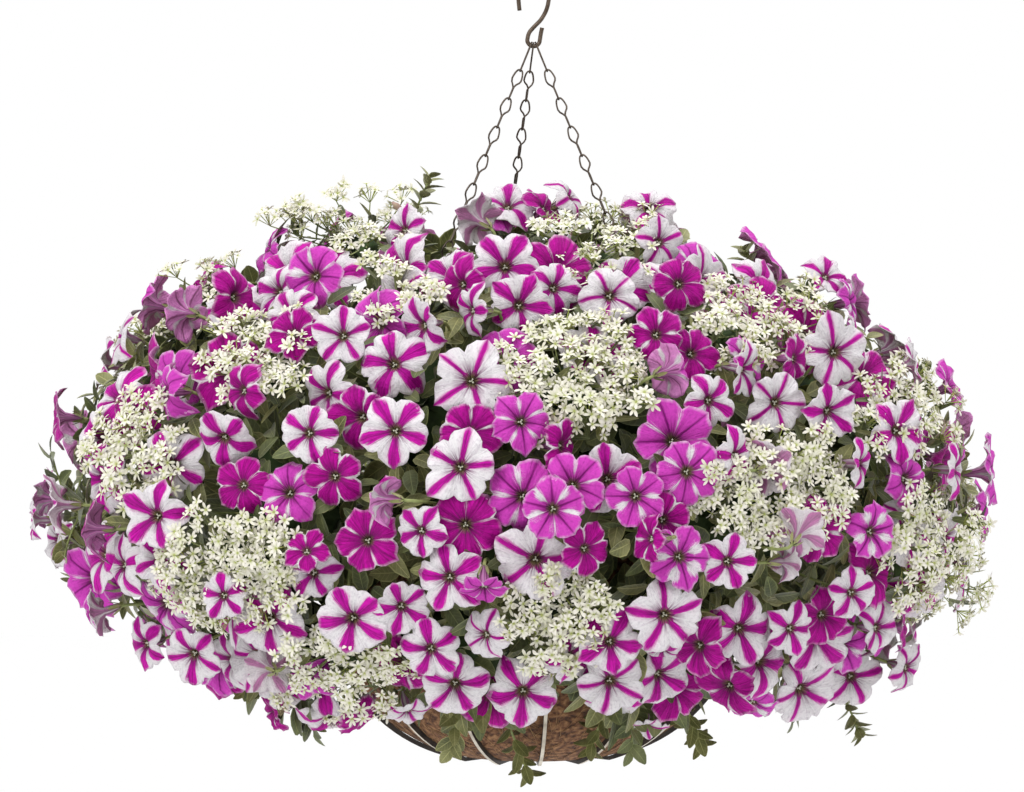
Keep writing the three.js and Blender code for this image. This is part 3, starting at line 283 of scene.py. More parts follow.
class Growth:
    """The faces of one piece as they grow, each with a material and a place on its own pattern."""

    def __init__(self):
        self.points = []
        self.faces = []
        self.slots = []
        self.places = []
        self.kinds = []
        self.count = 0

    def sheet(self, grid, slot, u, v, wrap=True, slot_rows=None, kind=(0.5, 0.5)):
        """A grid of points, rows by columns; u has one more value than the columns when it wraps."""
        rows, columns = grid.shape[:2]
        spans = columns if wrap else columns - 1
        row = np.arange(rows - 1)[:, None]
        column = np.arange(spans)[None, :]
        after = (column + 1) % columns
        corners = [row * columns + column, row * columns + after]
        corners += [(row + 1) * columns + after, (row + 1) * columns + column]
        quads = np.stack(np.broadcast_arrays(*corners), axis=-1).reshape(-1, 4)
        self.faces.append(quads + self.count)
        left = np.broadcast_to(u[:, 0][None, :], (rows - 1, spans))
        right = np.broadcast_to(u[:, 1][None, :], (rows - 1, spans))
        low = np.broadcast_to(v[:-1][:, None], (rows - 1, spans))
        high = np.broadcast_to(v[1:][:, None], (rows - 1, spans))
        place = np.stack([left, low, right, low, right, high, left, high], axis=-1)
        self.places.append(place.reshape(-1, 4, 2))
        slots = np.full(rows - 1, slot) if slot_rows is None else np.array(slot_rows)
        self.slots.append(np.repeat(slots, spans))
        self.kinds.append(np.tile(kind, ((rows - 1) * spans * 4, 1)))
        self.points.append(grid.reshape(-1, 3))
        self.count += rows * columns

    def tube(self, path, radii, sides, slot):
        """A round tube along a path, closed at both ends."""
        path = np.array(path, dtype=float)
        along = np.gradient(path, axis=0)
        along /= np.linalg.norm(along, axis=1)[:, None]
        start = vec(0, 0, 1) if abs(along[0][2]) < 0.9 else vec(1, 0, 0)
        out = unit(np.cross(along[0], start))
        rings = [np.repeat(path[:1], sides, axis=0)]
        turns = np.linspace(0, 2 * math.pi, sides, endpoint=False)
        for point, way, radius in zip(path, along, radii):
            out = unit(out - way * np.dot(out, way))
            side = np.cross(way, out)
            ring = np.cos(turns)[:, None] * out + np.sin(turns)[:, None] * side
            rings.append(point + radius * ring)
        rings.append(np.repeat(path[-1:], sides, axis=0))
        grid = np.stack(rings)
        self.sheet(grid, slot, spans_of(sides), np.linspace(0, 1, len(rings)))

    def build(self, name, materials, body, node):
        """The grown piece as an object that stands for one node of the frame."""
        points = np.concatenate(self.points) * METRES_PER_MM
        faces = np.concatenate(self.faces)
        mesh = bpy.data.meshes.new(name)
        mesh.vertices.add(len(points))
        mesh.vertices.foreach_set("co", points.ravel())
        mesh.loops.add(faces.size)
        mesh.loops.foreach_set("vertex_index", faces.ravel().astype(np.int32))
        mesh.polygons.add(len(faces))
        mesh.polygons.foreach_set("loop_start", np.arange(0, faces.size, 4, dtype=np.int32))
        mesh.polygons.foreach_set("material_index", np.concatenate(self.slots).astype(np.int32))
        mesh.polygons.foreach_set("use_smooth", np.ones(len(faces), dtype=bool))
        pattern = mesh.uv_layers.new(name="pattern")
        pattern.data.foreach_set("uv", np.concatenate(self.places).astype(np.float32).ravel())
        kind = mesh.uv_layers.new(name="kind")
        kind.data.foreach_set("uv", np.concatenate(self.kinds).astype(np.float32).ravel())
        for material in materials:
            mesh.materials.append(material)
        mesh.update(calc_edges=True)
        mesh.validate()
        piece = bpy.data.objects.new(name, mesh)
        bpy.context.collection.objects.link(piece)
        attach(piece, body)
        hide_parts(node)
        return piece


def spans_of(count):
    """The pattern's left and right edge for each of a number of equal spans."""
    edge = np.linspace(0, 1, count + 1)
    return np.stack([edge[:-1], edge[1:]], axis=-1)


# Materials

def blank(name, colour, roughness, metallic=0.0):
    material = bpy.data.materials.new(name)
    material.use_nodes = True
    shader = material.node_tree.nodes["Principled BSDF"]
    shader.inputs["Base Color"].default_value = (*colour, 1)
    shader.inputs["Roughness"].default_value = roughness
    shader.inputs["Metallic"].default_value = metallic
    return material, material.node_tree, shader


def math_node(tree, operation, first, second=None, third=None, clamp=False):
    node = tree.nodes.new("ShaderNodeMath")
    node.operation = operation
    node.use_clamp = clamp
    for index, value in enumerate((first, second, third)):
        if value is None:
            continue
        if isinstance(value, (int, float)):
            node.inputs[index].default_value = value
        else:
            tree.links.new(value, node.inputs[index])
    return node.outputs[0]


def ramp(tree, source, stops):
    """A value or colour looked up along a source, from (place, value or colour) stops."""
    node = tree.nodes.new("ShaderNodeValToRGB")
    elements = node.color_ramp.elements
    while len(elements) < len(stops):
        elements.new(1)
    for element, (place, value) in zip(elements, stops):
        element.position = place
        element.color = (*value, 1) if isinstance(value, tuple) else (value, value, value, 1)
    tree.links.new(source, node.inputs[0])
    return node.outputs[0]


def mixed(tree, share, first, second, blend="MIX"):
    node = tree.nodes.new("ShaderNodeMix")
    node.data_type = "RGBA"
    node.blend_type = blend
    for socket, value in zip((node.inputs[0], node.inputs[6], node.inputs[7]), (share, first, second)):
        if isinstance(value, tuple):
            socket.default_value = (*value, 1)
        elif isinstance(value, (int, float)):
            socket.default_value = value
        else:
            tree.links.new(value, socket)
    return node.outputs[2]


def pattern_of(tree, name="pattern"):
    """A pattern's two coordinates. "pattern" runs across (0 to 1) and along; "kind" holds two draws."""
    source = tree.nodes.new("ShaderNodeUVMap")
    source.uv_map = name
    split = tree.nodes.new("ShaderNodeSeparateXYZ")
    tree.links.new(source.outputs[0], split.inputs[0])
    return split.outputs[0], split.outputs[1]


def streaks(tree, across, along, fine, long, seed):
    """A noise drawn out along a petal, different on each bloom."""
    comb = tree.nodes.new("ShaderNodeCombineXYZ")
    tree.links.new(math_node(tree, "MULTIPLY", across, fine), comb.inputs[0])
    tree.links.new(math_node(tree, "MULTIPLY", along, long), comb.inputs[1])
    tree.links.new(math_node(tree, "MULTIPLY", seed, 90), comb.inputs[2])
    return noise(tree, 1, 3, comb.outputs[0])


def noise(tree, scale, detail=4.0, vector=None):
    node = tree.nodes.new("ShaderNodeTexNoise")
    node.inputs["Scale"].default_value = scale
    node.inputs["Detail"].default_value = detail
    if vector is None:
        place = tree.nodes.new("ShaderNodeTexCoord")
        vector = place.outputs["Object"]
    tree.links.new(vector, node.inputs["Vector"])
    return node.outputs["Fac"]


def bump(tree, shader, height, strength, distance):
    node = tree.nodes.new("ShaderNodeBump")
    node.inputs["Strength"].default_value = strength
    node.inputs["Distance"].default_value = distance
    tree.links.new(height, node.inputs["Height"])
    tree.links.new(node.outputs[0], shader.inputs["Normal"])


def lobe_draw(tree, round_it, seed):
    """A value of its own for each lobe of each bloom."""
    comb = tree.nodes.new("ShaderNodeCombineXYZ")
    tree.links.new(math_node(tree, "FLOOR", round_it), comb.inputs[0])
    tree.links.new(math_node(tree, "MULTIPLY", seed, 100), comb.inputs[1])
    node = tree.nodes.new("ShaderNodeTexWhiteNoise")
    tree.links.new(comb.outputs[0], node.inputs["Vector"])
    return node.outputs["Value"]


def petal(name, ground, ray, widths, wedge, margin, shade=1.0):
    """A petal: a ray down the middle of each lobe, veins, a pale margin and a dark throat.

    The pattern counts the lobes across and runs along from the throat. The widths are the ray's
    half-width along the lobe, the wedge is the white at the notches, and a shade under 1 mutes the
    colours, as on a petal's back.
    """
    material, tree, shader = blank(name, ground, 0.6)
    round_it, along = pattern_of(tree)
    across = math_node(tree, "FRACT", round_it)
    drawn, other = pattern_of(tree, "kind")
    own = lobe_draw(tree, round_it, drawn)
    off_middle = math_node(tree, "ABSOLUTE", math_node(tree, "MULTIPLY_ADD", across, 2, -1))
    fine = streaks(tree, round_it, along, 30, 1.8, drawn)
    broad = streaks(tree, round_it, along, 7, 1.3, other)
    crinkle = streaks(tree, round_it, along, 13, 11, drawn)

    # The ray: a width along the lobe, scaled by the bloom's and the lobe's draws, with a ragged edge
    scale = math_node(tree, "ADD", math_node(tree, "MULTIPLY_ADD", drawn, 0.5, 0.6),
                      math_node(tree, "MULTIPLY", own, 0.34))
    width = math_node(tree, "MULTIPLY", ramp(tree, along, widths), scale)
    feather = math_node(tree, "MULTIPLY_ADD", fine, 0.5, -0.25)
    feather = math_node(tree, "ADD", feather, math_node(tree, "MULTIPLY_ADD", broad, 0.24, -0.12))
    ragged = math_node(tree, "MULTIPLY", feather, math_node(tree, "MULTIPLY", width, 2.4, clamp=True))
    edge = math_node(tree, "SUBTRACT", math_node(tree, "ADD", width, ragged), off_middle)
    in_ray = math_node(tree, "MULTIPLY_ADD", edge, 8, 0.5, clamp=True)
    # A blush beside the ray, and deeper patches, a dark midrib and dark streaks in it
    blush = math_node(tree, "MULTIPLY", math_node(tree, "MULTIPLY_ADD", edge, 2.4, 0.8, clamp=True), 0.34)
    blushed = tuple(0.5 * g + 0.5 * r for g, r in zip(ground, ray))
    tinted = mixed(tree, blush, ground, blushed)
    deep = tuple(c * 0.58 for c in ray)
    lit = math_node(tree, "MULTIPLY_ADD", broad, 3.2, -1.1, clamp=True)
    ray_colour = mixed(tree, lit, deep, ray)
    midrib = math_node(tree, "MULTIPLY_ADD", off_middle, -14, 0.9, clamp=True)
    dark = tuple(c * 0.45 for c in ray)
    ray_colour = mixed(tree, math_node(tree, "MULTIPLY", midrib, 0.75), ray_colour, dark)
    dark_streaks = ramp(tree, fine, [(0.36, (0.66, 0.6, 0.68)), (0.52, (1.0, 1.0, 1.0))])
    ray_colour = mixed(tree, 0.9, ray_colour, dark_streaks, "MULTIPLY")
    colour = mixed(tree, in_ray, tinted, ray_colour)
    if wedge:
        share = math_node(tree, "MULTIPLY", own, math_node(tree, "MULTIPLY_ADD", other, 1.7, 0.3))
        reach = math_node(tree, "MULTIPLY", ramp(tree, along, wedge), share)
        start = math_node(tree, "SUBTRACT", 1, reach)
        into = math_node(tree, "SUBTRACT", math_node(tree, "ADD", off_middle, feather), start)
        at_notch = math_node(tree, "MULTIPLY_ADD", into, 5, 0.4, clamp=True)
        colour = mixed(tree, at_notch, colour, WHITE)

    # Veins all over, painted shade in the folds, dark veins out of the throat, a pale margin and the throat
    # itself
    veins = ramp(tree, fine, [(0.34, (0.9, 0.86, 0.9)), (0.5, (1.0, 1.0, 1.0))])
    colour = mixed(tree, 0.9, colour, veins, "MULTIPLY")
    # painted shade: the colour greys where the crinkle noise, which also sets the folds' bump, is low
    fold_shade = ramp(tree, crinkle, [(0.34, (0.85, 0.84, 0.86)), (0.5, (1.0, 1.0, 1.0))])
    colour = mixed(tree, 1.0, colour, fold_shade, "MULTIPLY")
    near_throat = ramp(tree, along, [(0.0, 1.0), (0.24, 0.95), (0.38, 0.5), (0.6, 0.0)])
    dark_vein = ramp(tree, streaks(tree, round_it, along, 9, 0.5, other), [(0.44, 1.0), (0.55, 0.1)])
    colour = mixed(tree, math_node(tree, "MULTIPLY", near_throat, dark_vein), colour, (0.17, 0.015, 0.12))
    rim = ramp(tree, along, [(0.9, 0.0), (0.985, margin), (1.0, margin)])
    colour = mixed(tree, math_node(tree, "MULTIPLY", rim, lit), colour, (0.72, 0.64, 0.7))
    throat = ramp(tree, along, [(0.0, 1.0), (0.13, 1.0), (0.19, 0.6), (0.28, 0.0)])
    inside = ramp(tree, broad, [(0.42, 0.0), (0.56, 1.0)])
    inside = mixed(tree, inside, (0.035, 0.012, 0.02), (0.2, 0.16, 0.07))
    colour = mixed(tree, throat, colour, inside)
    if shade < 1:
        colour = mixed(tree, 1 - shade, colour, (0.62, 0.5, 0.54))
    tree.links.new(colour, shader.inputs["Base Color"])
    shader.inputs["Specular IOR Level"].default_value = 0.12
    bump(tree, shader, math_node(tree, "ADD", fine, crinkle), 0.8, 0.0016)
    return material


def leafy(name, dark, mid, pale):
    """A leaf: pale midrib and side veins over mottled green."""
    material, tree, shader = blank(name, mid, 0.5)
    across, along = pattern_of(tree)
    off_middle = math_node(tree, "ABSOLUTE", math_node(tree, "MULTIPLY_ADD", across, 2, -1))
    green = ramp(tree, noise(tree, 55, 5), [(0.32, dark), (0.5, mid), (0.72, pale)])
    ahead = math_node(tree, "MULTIPLY", along, 42)
    slant = math_node(tree, "SUBTRACT", ahead, math_node(tree, "MULTIPLY", off_middle, 9))
    stripes = math_node(tree, "SINE", slant)
    side_veins = math_node(tree, "MULTIPLY_ADD", stripes, 3, -2.3, clamp=True)
    midrib = math_node(tree, "MULTIPLY_ADD", off_middle, -16, 1.4, clamp=True)
    veins = math_node(tree, "MAXIMUM", midrib, math_node(tree, "MULTIPLY", side_veins, 0.45))
    edge = math_node(tree, "MULTIPLY_ADD", off_middle, 6, -4.9, clamp=True)
    veins = math_node(tree, "MAXIMUM", veins, edge)
    vein_colour = tuple(min(1, c * 1.9) for c in pale)
    colour = mixed(tree, math_node(tree, "MULTIPLY", veins, 0.6), green, vein_colour)
    tree.links.new(colour, shader.inputs["Base Color"])
    bump(tree, shader, veins, 0.3, 0.0008)
    shader.inputs["Sheen Weight"].default_value = 0.2
    return material


def mottled(name, stops, roughness, scale, metallic=0.0, relief=0.3, depth=0.001):
    """A surface whose colour and relief follow one noise."""
    material, tree, shader = blank(name, stops[0][1], roughness, metallic)
    fac = noise(tree, scale, 6)
    tree.links.new(ramp(tree, fac, stops), shader.inputs["Base Color"])
    bump(tree, shader, fac, relief, depth)
    return material


# Colours, and how wide the rays and the white wedges are along a lobe: (place, half width)
MAGENTA = (0.62, 0.008, 0.4)
DEEP = (0.54, 0.004, 0.33)
LILAC = (0.6, 0.055, 0.47)
VEIN = (0.3, 0.008, 0.23)
WHITE = (0.76, 0.735, 0.75)
RAY_WIDE = [(0.0, 1.2), (0.18, 1.0), (0.3, 0.48), (0.55, 0.44), (0.76, 0.42), (0.9, 0.32), (1.0, 0.14)]
RAY_SLIM = [(0.0, 1.2), (0.18, 0.9), (0.3, 0.34), (0.6, 0.22), (0.85, 0.17), (1.0, 0.1)]
RAY_FULL = [(0.0, 1.6), (0.5, 1.6), (0.7, 1.4), (0.86, 1.15), (1.0, 0.84)]
WEDGE = [(0.0, 0.0), (0.3, 0.05), (0.5, 0.42), (0.72, 0.36), (0.9, 0.14), (1.0, 0.1)]
SMALL_WEDGE = [(0.0, 0.0), (0.34, 0.0), (0.52, 0.16), (0.72, 0.14), (0.9, 0.02), (1.0, 0.0)]
RAY_MIDRIB = [(0.0, 0.9), (0.2, 0.34), (0.34, 0.14), (0.6, 0.07), (0.9, 0.03), (1.0, 0.0)]

PETALS = {
    "S": petal("petal_striped", WHITE, MAGENTA, RAY_WIDE, None, 0.4),
    "W": petal("petal_star", WHITE, MAGENTA, RAY_SLIM, None, 0.4),
    "M": petal("petal_magenta", WHITE, DEEP, RAY_FULL, SMALL_WEDGE, 0.6),
    "L": petal("petal_lilac", LILAC, VEIN, RAY_MIDRIB, WEDGE, 0.6),
}
BACK_PALE = petal("petal_back_pale", WHITE, (0.6, 0.13, 0.44), RAY_WIDE, None, 0.0, 0.74)
BACK_MAUVE = petal("petal_back_mauve", (0.76, 0.26, 0.64), (0.4, 0.07, 0.28), RAY_MIDRIB, WEDGE, 0.0, 0.9)
STEM_GREEN = mottled("stem_green", [(0.3, (0.15, 0.18, 0.05)), (0.7, (0.3, 0.34, 0.12))], 0.6, 90)
LEAF_GREEN = leafy("leaf_green", (0.04, 0.055, 0.014), (0.085, 0.105, 0.026), (0.16, 0.18, 0.06))
LEAF_OLIVE = leafy("leaf_olive", (0.075, 0.085, 0.02), (0.16, 0.165, 0.045), (0.28, 0.28, 0.11))
SHADE_GREEN = mottled("shade_green", [(0.3, (0.01, 0.022, 0.006)), (0.7, (0.05, 0.09, 0.02))],
                      0.9, 60, 0, 0.9, 0.004)
THROAT_PALE = mottled("stigma", [(0.3, (0.42, 0.42, 0.3)), (0.7, (0.7, 0.7, 0.58))], 0.5, 900)
BUD = mottled("bud", [(0.3, (0.2, 0.15, 0.07)), (0.5, (0.4, 0.24, 0.22)), (0.7, (0.46, 0.4, 0.22))], 0.6, 160)
PLANT = [PETALS["S"], PETALS["W"], PETALS["M"], PETALS["L"], BACK_PALE, BACK_MAUVE, STEM_GREEN, LEAF_GREEN,
         LEAF_OLIVE, SHADE_GREEN, THROAT_PALE, BUD]
PETAL_SLOT = {"S": 0, "W": 1, "M": 2, "L": 3}
BACK_SLOT = {"S": 4, "W": 4, "M": 5, "L": 5}
STEM_SLOT, LEAF_SLOT, OLIVE_SLOT, SHADE_SLOT, STIGMA_SLOT, BUD_SLOT = range(6, 12)


def bract_white():
    """A bract: cream, greener towards its foot."""
    material, tree, shader = blank("bract_white", (0.66, 0.67, 0.54), 0.7)
    _, along = pattern_of(tree)
    drawn, _ = pattern_of(tree, "kind")
    greens = [(0.0, (0.38, 0.42, 0.11)), (0.2, (0.66, 0.66, 0.46)), (0.5, (0.79, 0.76, 0.67))]
    tint = ramp(tree, along, greens)
    shade = ramp(tree, drawn, [(0.0, (0.8, 0.82, 0.7)), (0.45, (1.0, 1.0, 1.0))])
    tree.links.new(mixed(tree, 1.0, tint, shade, "MULTIPLY"), shader.inputs["Base Color"])
    shader.inputs["Specular IOR Level"].default_value = 0.25
    return material


BRACT = bract_white()
FLORET_EYE = mottled("floret_eye", [(0.3, (0.35, 0.45, 0.08)), (0.7, (0.6, 0.62, 0.2))], 0.6, 700)
SPRAY_MATERIALS = [BRACT, FLORET_EYE, STEM_GREEN, LEAF_GREEN, LEAF_OLIVE, SHADE_GREEN]
BRACT_SLOT, STALK_SLOT, SPRAY_STEM_SLOT, SPRAY_LEAF_SLOT, SPRAY_OLIVE_SLOT, SPRAY_SHADE_SLOT = range(6)
HOOK_METAL = mottled("hook_bronze", [(0.3, (0.07, 0.05, 0.035)), (0.7, (0.17, 0.13, 0.1))],
                     0.42, 220, 0.85, 0.2, 0.0003)
CHAIN_METAL = mottled("chain_bronze", [(0.3, (0.06, 0.045, 0.035)), (0.7, (0.15, 0.12, 0.095))],
                      0.4, 320, 0.85, 0.2, 0.0002)
STRAP_METAL = mottled("strap_paint", [(0.35, (0.016, 0.012, 0.01)), (0.7, (0.05, 0.038, 0.03))],
                      0.45, 120, 0.3, 0.2, 0.0004)
# Painted highlight: the pale colour on the straps' outer edges stands in for the light that they catch
STRAP_HIGHLIGHT = mottled("strap_edge_highlight", [(0.3, (0.3, 0.25, 0.19)), (0.6, (0.62, 0.57, 0.48))], 0.5, 60, 0.2)
COCO = mottled("coco_fibre", [(0.34, (0.045, 0.018, 0.009)), (0.5, (0.15, 0.065, 0.028)),
                              (0.7, (0.32, 0.17, 0.075))], 0.95, 210, 0, 1.0, 0.003)
SOIL = mottled("soil", [(0.3, (0.012, 0.008, 0.005)), (0.7, (0.06, 0.04, 0.026))], 1.0, 90, 0, 1.0, 0.004)


# The made pieces

def bowl_radius(z):
    drop = min(max((RIM_Z - z) / BOWL_DEPTH, 0), 1)
    return BOWL_RADIUS * (1 - drop ** BOWL_POWER) ** (1 / BOWL_POWER)


def bowl_profile(offset, steps, top, low=None):
    """Points down the bowl's outside, moved out by an offset that can change to another at the base."""
    share = np.sin(np.linspace(0, math.pi / 2, steps + 1))
    z = top + (RIM_Z - BOWL_FLAT - top) * share
    out = offset + ((offset if low is None else low) - offset) * share
    radius = np.array([bowl_radius(height) for height in z]) + out
    return np.stack([radius, z - out * share], axis=-1)


def lathed(growth, profile, steps, slot, roughen=None):
    """A profile of (radius, height) turned about the upright axis."""
    turns = np.linspace(0, 2 * math.pi, steps, endpoint=False)
    radius = profile[:, 0][:, None]
    height = np.broadcast_to(profile[:, 1][:, None], (len(profile), steps))
    grid = np.stack([radius * np.cos(turns), radius * np.sin(turns), height], axis=-1)
    if roughen is not None:
        grid = roughen(grid)
    growth.sheet(grid, slot, spans_of(steps), np.linspace(0, 1, len(profile)))


def smooth_path(points, steps):
    """A Catmull-Rom path through points."""
    points = np.array(points, dtype=float)
    padded = np.vstack([2 * points[0] - points[1], points, 2 * points[-1] - points[-2]])
    path = []
    for index in range(1, len(padded) - 2):
        a, b, c, d = padded[index - 1:index + 3]
        for step in range(steps):
            t = step / steps
            path.append(0.5 * (2 * b + (c - a) * t + (2 * a - 5 * b + 4 * c - d) * t * t
                               + (3 * b - a - 3 * c + d) * t ** 3))
    path.append(points[-1])
    return np.array(path)


def hook_path():
    points = [vec(-12.6, 0, -28.1), vec(-13.5, 0, -19)]
    for turn in np.arange(180, -1, -22.5):
        angle = math.radians(turn)
        points.append(vec(CROOK_RADIUS * math.cos(angle), 0, CROOK_Z + CROOK_RADIUS * math.sin(angle)))
    points += [vec(13.3, 0, -20), vec(11, 0, -28.5), vec(6.4, 0, -36.4), vec(0.6, 0, -42.4), vec(-4, 0, -48)]
    for turn in range(180, 361, 30):
        angle = math.radians(turn)
        points.append(vec(EYE_RADIUS * math.cos(angle), 0, EYE_Z + EYE_RADIUS * math.sin(angle)))
    points += [vec(6.4, 0, -49), vec(7.6, 0, -43.4)]
    return smooth_path(points, 6)


def build_hook():
    growth = Growth()
    path = hook_path()
    growth.tube(path, [HOOK_WIRE] * len(path), 20, 0)
    growth.build("hook_wire", [HOOK_METAL], "hanger", "hook")


def chain_ends(side):
    eye = math.radians(CHAIN_EYE_DEG[side])
    rim = math.radians(CHAIN_RIM_DEG[side])
    bow = EYE_RADIUS - HOOK_WIRE - GAP - CHAIN_WIRE
    start = vec(bow * math.sin(eye), 0, EYE_Z - bow * math.cos(eye))
    end = vec(RIM_RADIUS * math.sin(rim), RIM_RADIUS * math.cos(rim), RIM_Z)
    end = end + unit(end - start) * (RIM_ROD + GAP + 2 * CHAIN_WIRE)
    return start, end, vec(math.sin(rim), math.cos(rim), 0)


def closed_tube(growth, ring, radius, sides, slot):
    """A ring of wire through points, closed on itself."""
    ring = np.array(ring)
    along = np.roll(ring, -1, axis=0) - np.roll(ring, 1, axis=0)
    along /= np.linalg.norm(along, axis=1)[:, None]
    frames = []
    out = unit(np.cross(along[0], vec(0.3, 0.5, 0.81)))
    for way in along:
        out = unit(out - way * np.dot(out, way))
        frames.append(out)
    last = unit(frames[-1] - along[0] * np.dot(frames[-1], along[0]))
    twist = math.atan2(np.dot(np.cross(last, frames[0]), along[0]), np.dot(last, frames[0]))
    turns = np.linspace(0, 2 * math.pi, sides, endpoint=False)
    rows = []
    for index, (point, way, out) in enumerate(zip(ring, along, frames)):
        side = np.cross(way, out)
        angle = turns + twist * index / len(ring)
        rows.append(point + radius * (np.cos(angle)[:, None] * out + np.sin(angle)[:, None] * side))
    rows.append(rows[0])
    growth.sheet(np.stack(rows), slot, spans_of(sides), np.linspace(0, 1, len(rows)))


def build_chain(side):
    """Links with a round head and a narrow foot a quarter turn round; each hangs in the one above."""
    start, end, outward = chain_ends(side)
    down = unit(end - start)
    pitch = np.linalg.norm(end - start) / CHAIN_LINKS
    across = unit(vec(0, 1, 0) - down * down[1])
    beside = np.cross(down, across)
    facing_rim = math.copysign(1, np.dot(outward, beside))
    twist = math.atan2(facing_rim * np.dot(outward, across), facing_rim * np.dot(outward, beside))
    growth = Growth()
    last = CHAIN_LINKS - 1
    for link in range(CHAIN_LINKS):
        quarter = 0 if link == 0 else math.pi / 2
        head = quarter - twist * link / last
        foot = head if link in (0, last) else head + math.pi / 2 - twist / last
        top = pitch * link - (0 if link == 0 else CHAIN_WIRE)
        low = pitch * (link + 1) + (0 if link == last else CHAIN_WIRE)
        wide = LINK["last_wide"] if link == last else LINK["wide"]
        narrow = LINK["last_narrow"] if link == last else LINK["narrow"]
        ring = []
        for step in range(LINK_STEPS):
            angle = 2 * math.pi * step / LINK_STEPS
            drop = 0.5 - 0.5 * math.cos(angle)
            neck = smooth(*LINK["neck"], drop)
            half = wide + (narrow - wide) * neck
            bow = abs(math.sin(angle)) ** (LINK["head_bow"] if drop < 0.5 else LINK["foot_bow"])
            offset = half * math.copysign(bow, math.sin(angle))
            turn = head + (foot - head) * neck
            ring.append(start + down * (top + (low - top) * drop)
                        + across * offset * math.cos(turn) + beside * offset * math.sin(turn))
        closed_tube(growth, ring, LINK_GAUGE, 6, 0)
    growth.build(f"links_{side}", [CHAIN_METAL], "basket", f"chain_{side}")


def build_rim():
    growth = Growth()
    turns = np.linspace(0, 2 * math.pi, ROD_SIDES + 1)
    ring = np.stack([RIM_RADIUS + RIM_ROD * np.cos(turns), RIM_Z + RIM_ROD * np.sin(turns)], axis=-1)
    lathed(growth, ring, ROUND_STEPS["rim"], 0)
    growth.build("rim", [STRAP_METAL], "basket", "rim_rod")


def build_rib(number):
    """A flat strap on edge, its outer edge painted pale as a highlight, that follows the bowl down to the
    base hoop.
    """
    top = RIM_Z - RIM_ROD - GAP
    inner = bowl_profile(GAP, RIB_STEPS, top)
    outer = bowl_profile(GAP + RIB_DEPTH, RIB_STEPS, top, GAP + RIB_FOOT)
    inner[0][1] = top
    outer[0][1] = top
    end = BASE_HOOP_RADIUS + GAP
    inner = np.vstack([inner, [end, inner[-1][1]]])
    outer = np.vstack([outer, [end, outer[-1][1]]])
    angle = math.radians(-90 + RIB_FIRST_DEG + 360 * number / RIB_COUNT)
    out = vec(math.cos(angle), math.sin(angle), 0)
    aside = vec(-math.sin(angle), math.cos(angle), 0)
    rows = []
    for (near, z_near), (far, z_far) in zip(inner, outer):
        a = out * near + vec(0, 0, z_near)
        b = out * far + vec(0, 0, z_far)
        half = aside * RIB_THICKNESS / 2
        rows.append([a + half, a - half, b - half, b + half])
    rows = [[np.mean(rows[0], axis=0)] * 4] + rows + [[np.mean(rows[-1], axis=0)] * 4]
    growth = Growth()
    growth.sheet(np.array(rows), 0, spans_of(4), np.linspace(0, 1, len(rows)))
    # the third span round each row, the outer edge, takes the painted highlight
    growth.slots = [np.tile([0, 0, 1, 0], len(rows) - 1)]
    metals = [STRAP_METAL, STRAP_HIGHLIGHT]
    tag = f"{number + 1:02d}"
    piece = growth.build(f"strap_{tag}", metals, "basket", f"rib_{tag}")
    piece.data.polygons.foreach_set("use_smooth", np.zeros(len(piece.data.polygons), dtype=bool))


def build_hoop():
    top = RIM_Z - BOWL_FLAT - GAP
    inner = BASE_HOOP_RADIUS - RIB_THICKNESS
    low = top - RIB_FOOT
    profile = np.array([
        [inner, top], [inner, low], [BASE_HOOP_RADIUS, low], [BASE_HOOP_RADIUS, top], [inner, top],
    ], dtype=float)
    growth = Growth()
    lathed(growth, profile, ROUND_STEPS["hoop"], 0)
    growth.build("hoop", [STRAP_METAL], "basket", "base_hoop")


def build_liner():
    """The coco liner: a rough fibrous bowl, with loose strands over its outside."""
    draws = np.random.default_rng(11)
    base = RIM_Z - BOWL_FLAT
    outside = bowl_profile(0, 40, RIM_Z + LINER_LIP)[::-1]
    inside = bowl_profile(-LINER_WALL, 20, RIM_Z + LINER_LIP)
    profile = np.vstack([[0.01, base], outside, inside, [0.01, base + LINER_WALL]])

    def roughen(grid):
        shift = draws.normal(0, LINER_ROUGHNESS, grid.shape[:2])[..., None]
        flat = grid * np.array([1, 1, 0])
        length = np.maximum(np.linalg.norm(flat, axis=-1, keepdims=True), 1)
        return grid - flat / length * np.abs(shift)

    growth = Growth()
    lathed(growth, profile, ROUND_STEPS["liner"], 0, roughen)
    for _ in range(LINER_STRANDS):
        azimuth = draws.uniform(0, 2 * math.pi)
        height = RIM_Z - STRAND["from"] - STRAND["over"] * draws.uniform(0, 1) ** STRAND["crowding"]
        slant = draws.uniform(-STRAND["slant"], STRAND["slant"])
        length = draws.uniform(STRAND["short"], STRAND["long"])
        path = []
        for share in np.linspace(0, 1, 4):
            turn = azimuth + slant * length * share / STRAND["bend"]
            turn += 0.01 * math.sin(3 * share + azimuth * 9)
            z = max(height - length * share * math.cos(slant), RIM_Z - BOWL_FLAT + 1)
            radius = bowl_radius(z) + STRAND["lift"]
            path.append(vec(radius * math.cos(turn), radius * math.sin(turn), z))
        growth.tube(path, STRAND["gauge"], 3, int(draws.integers(1, 3)))
    strands = [mottled("strand_gold", [(0.3, (0.24, 0.12, 0.05)), (0.7, (0.42, 0.25, 0.11))], 0.8, 90),
               mottled("strand_brown", [(0.3, (0.05, 0.025, 0.012)), (0.7, (0.16, 0.08, 0.035))], 0.9, 90)]
    growth.build("liner", [COCO, *strands], "basket", "coco_liner")


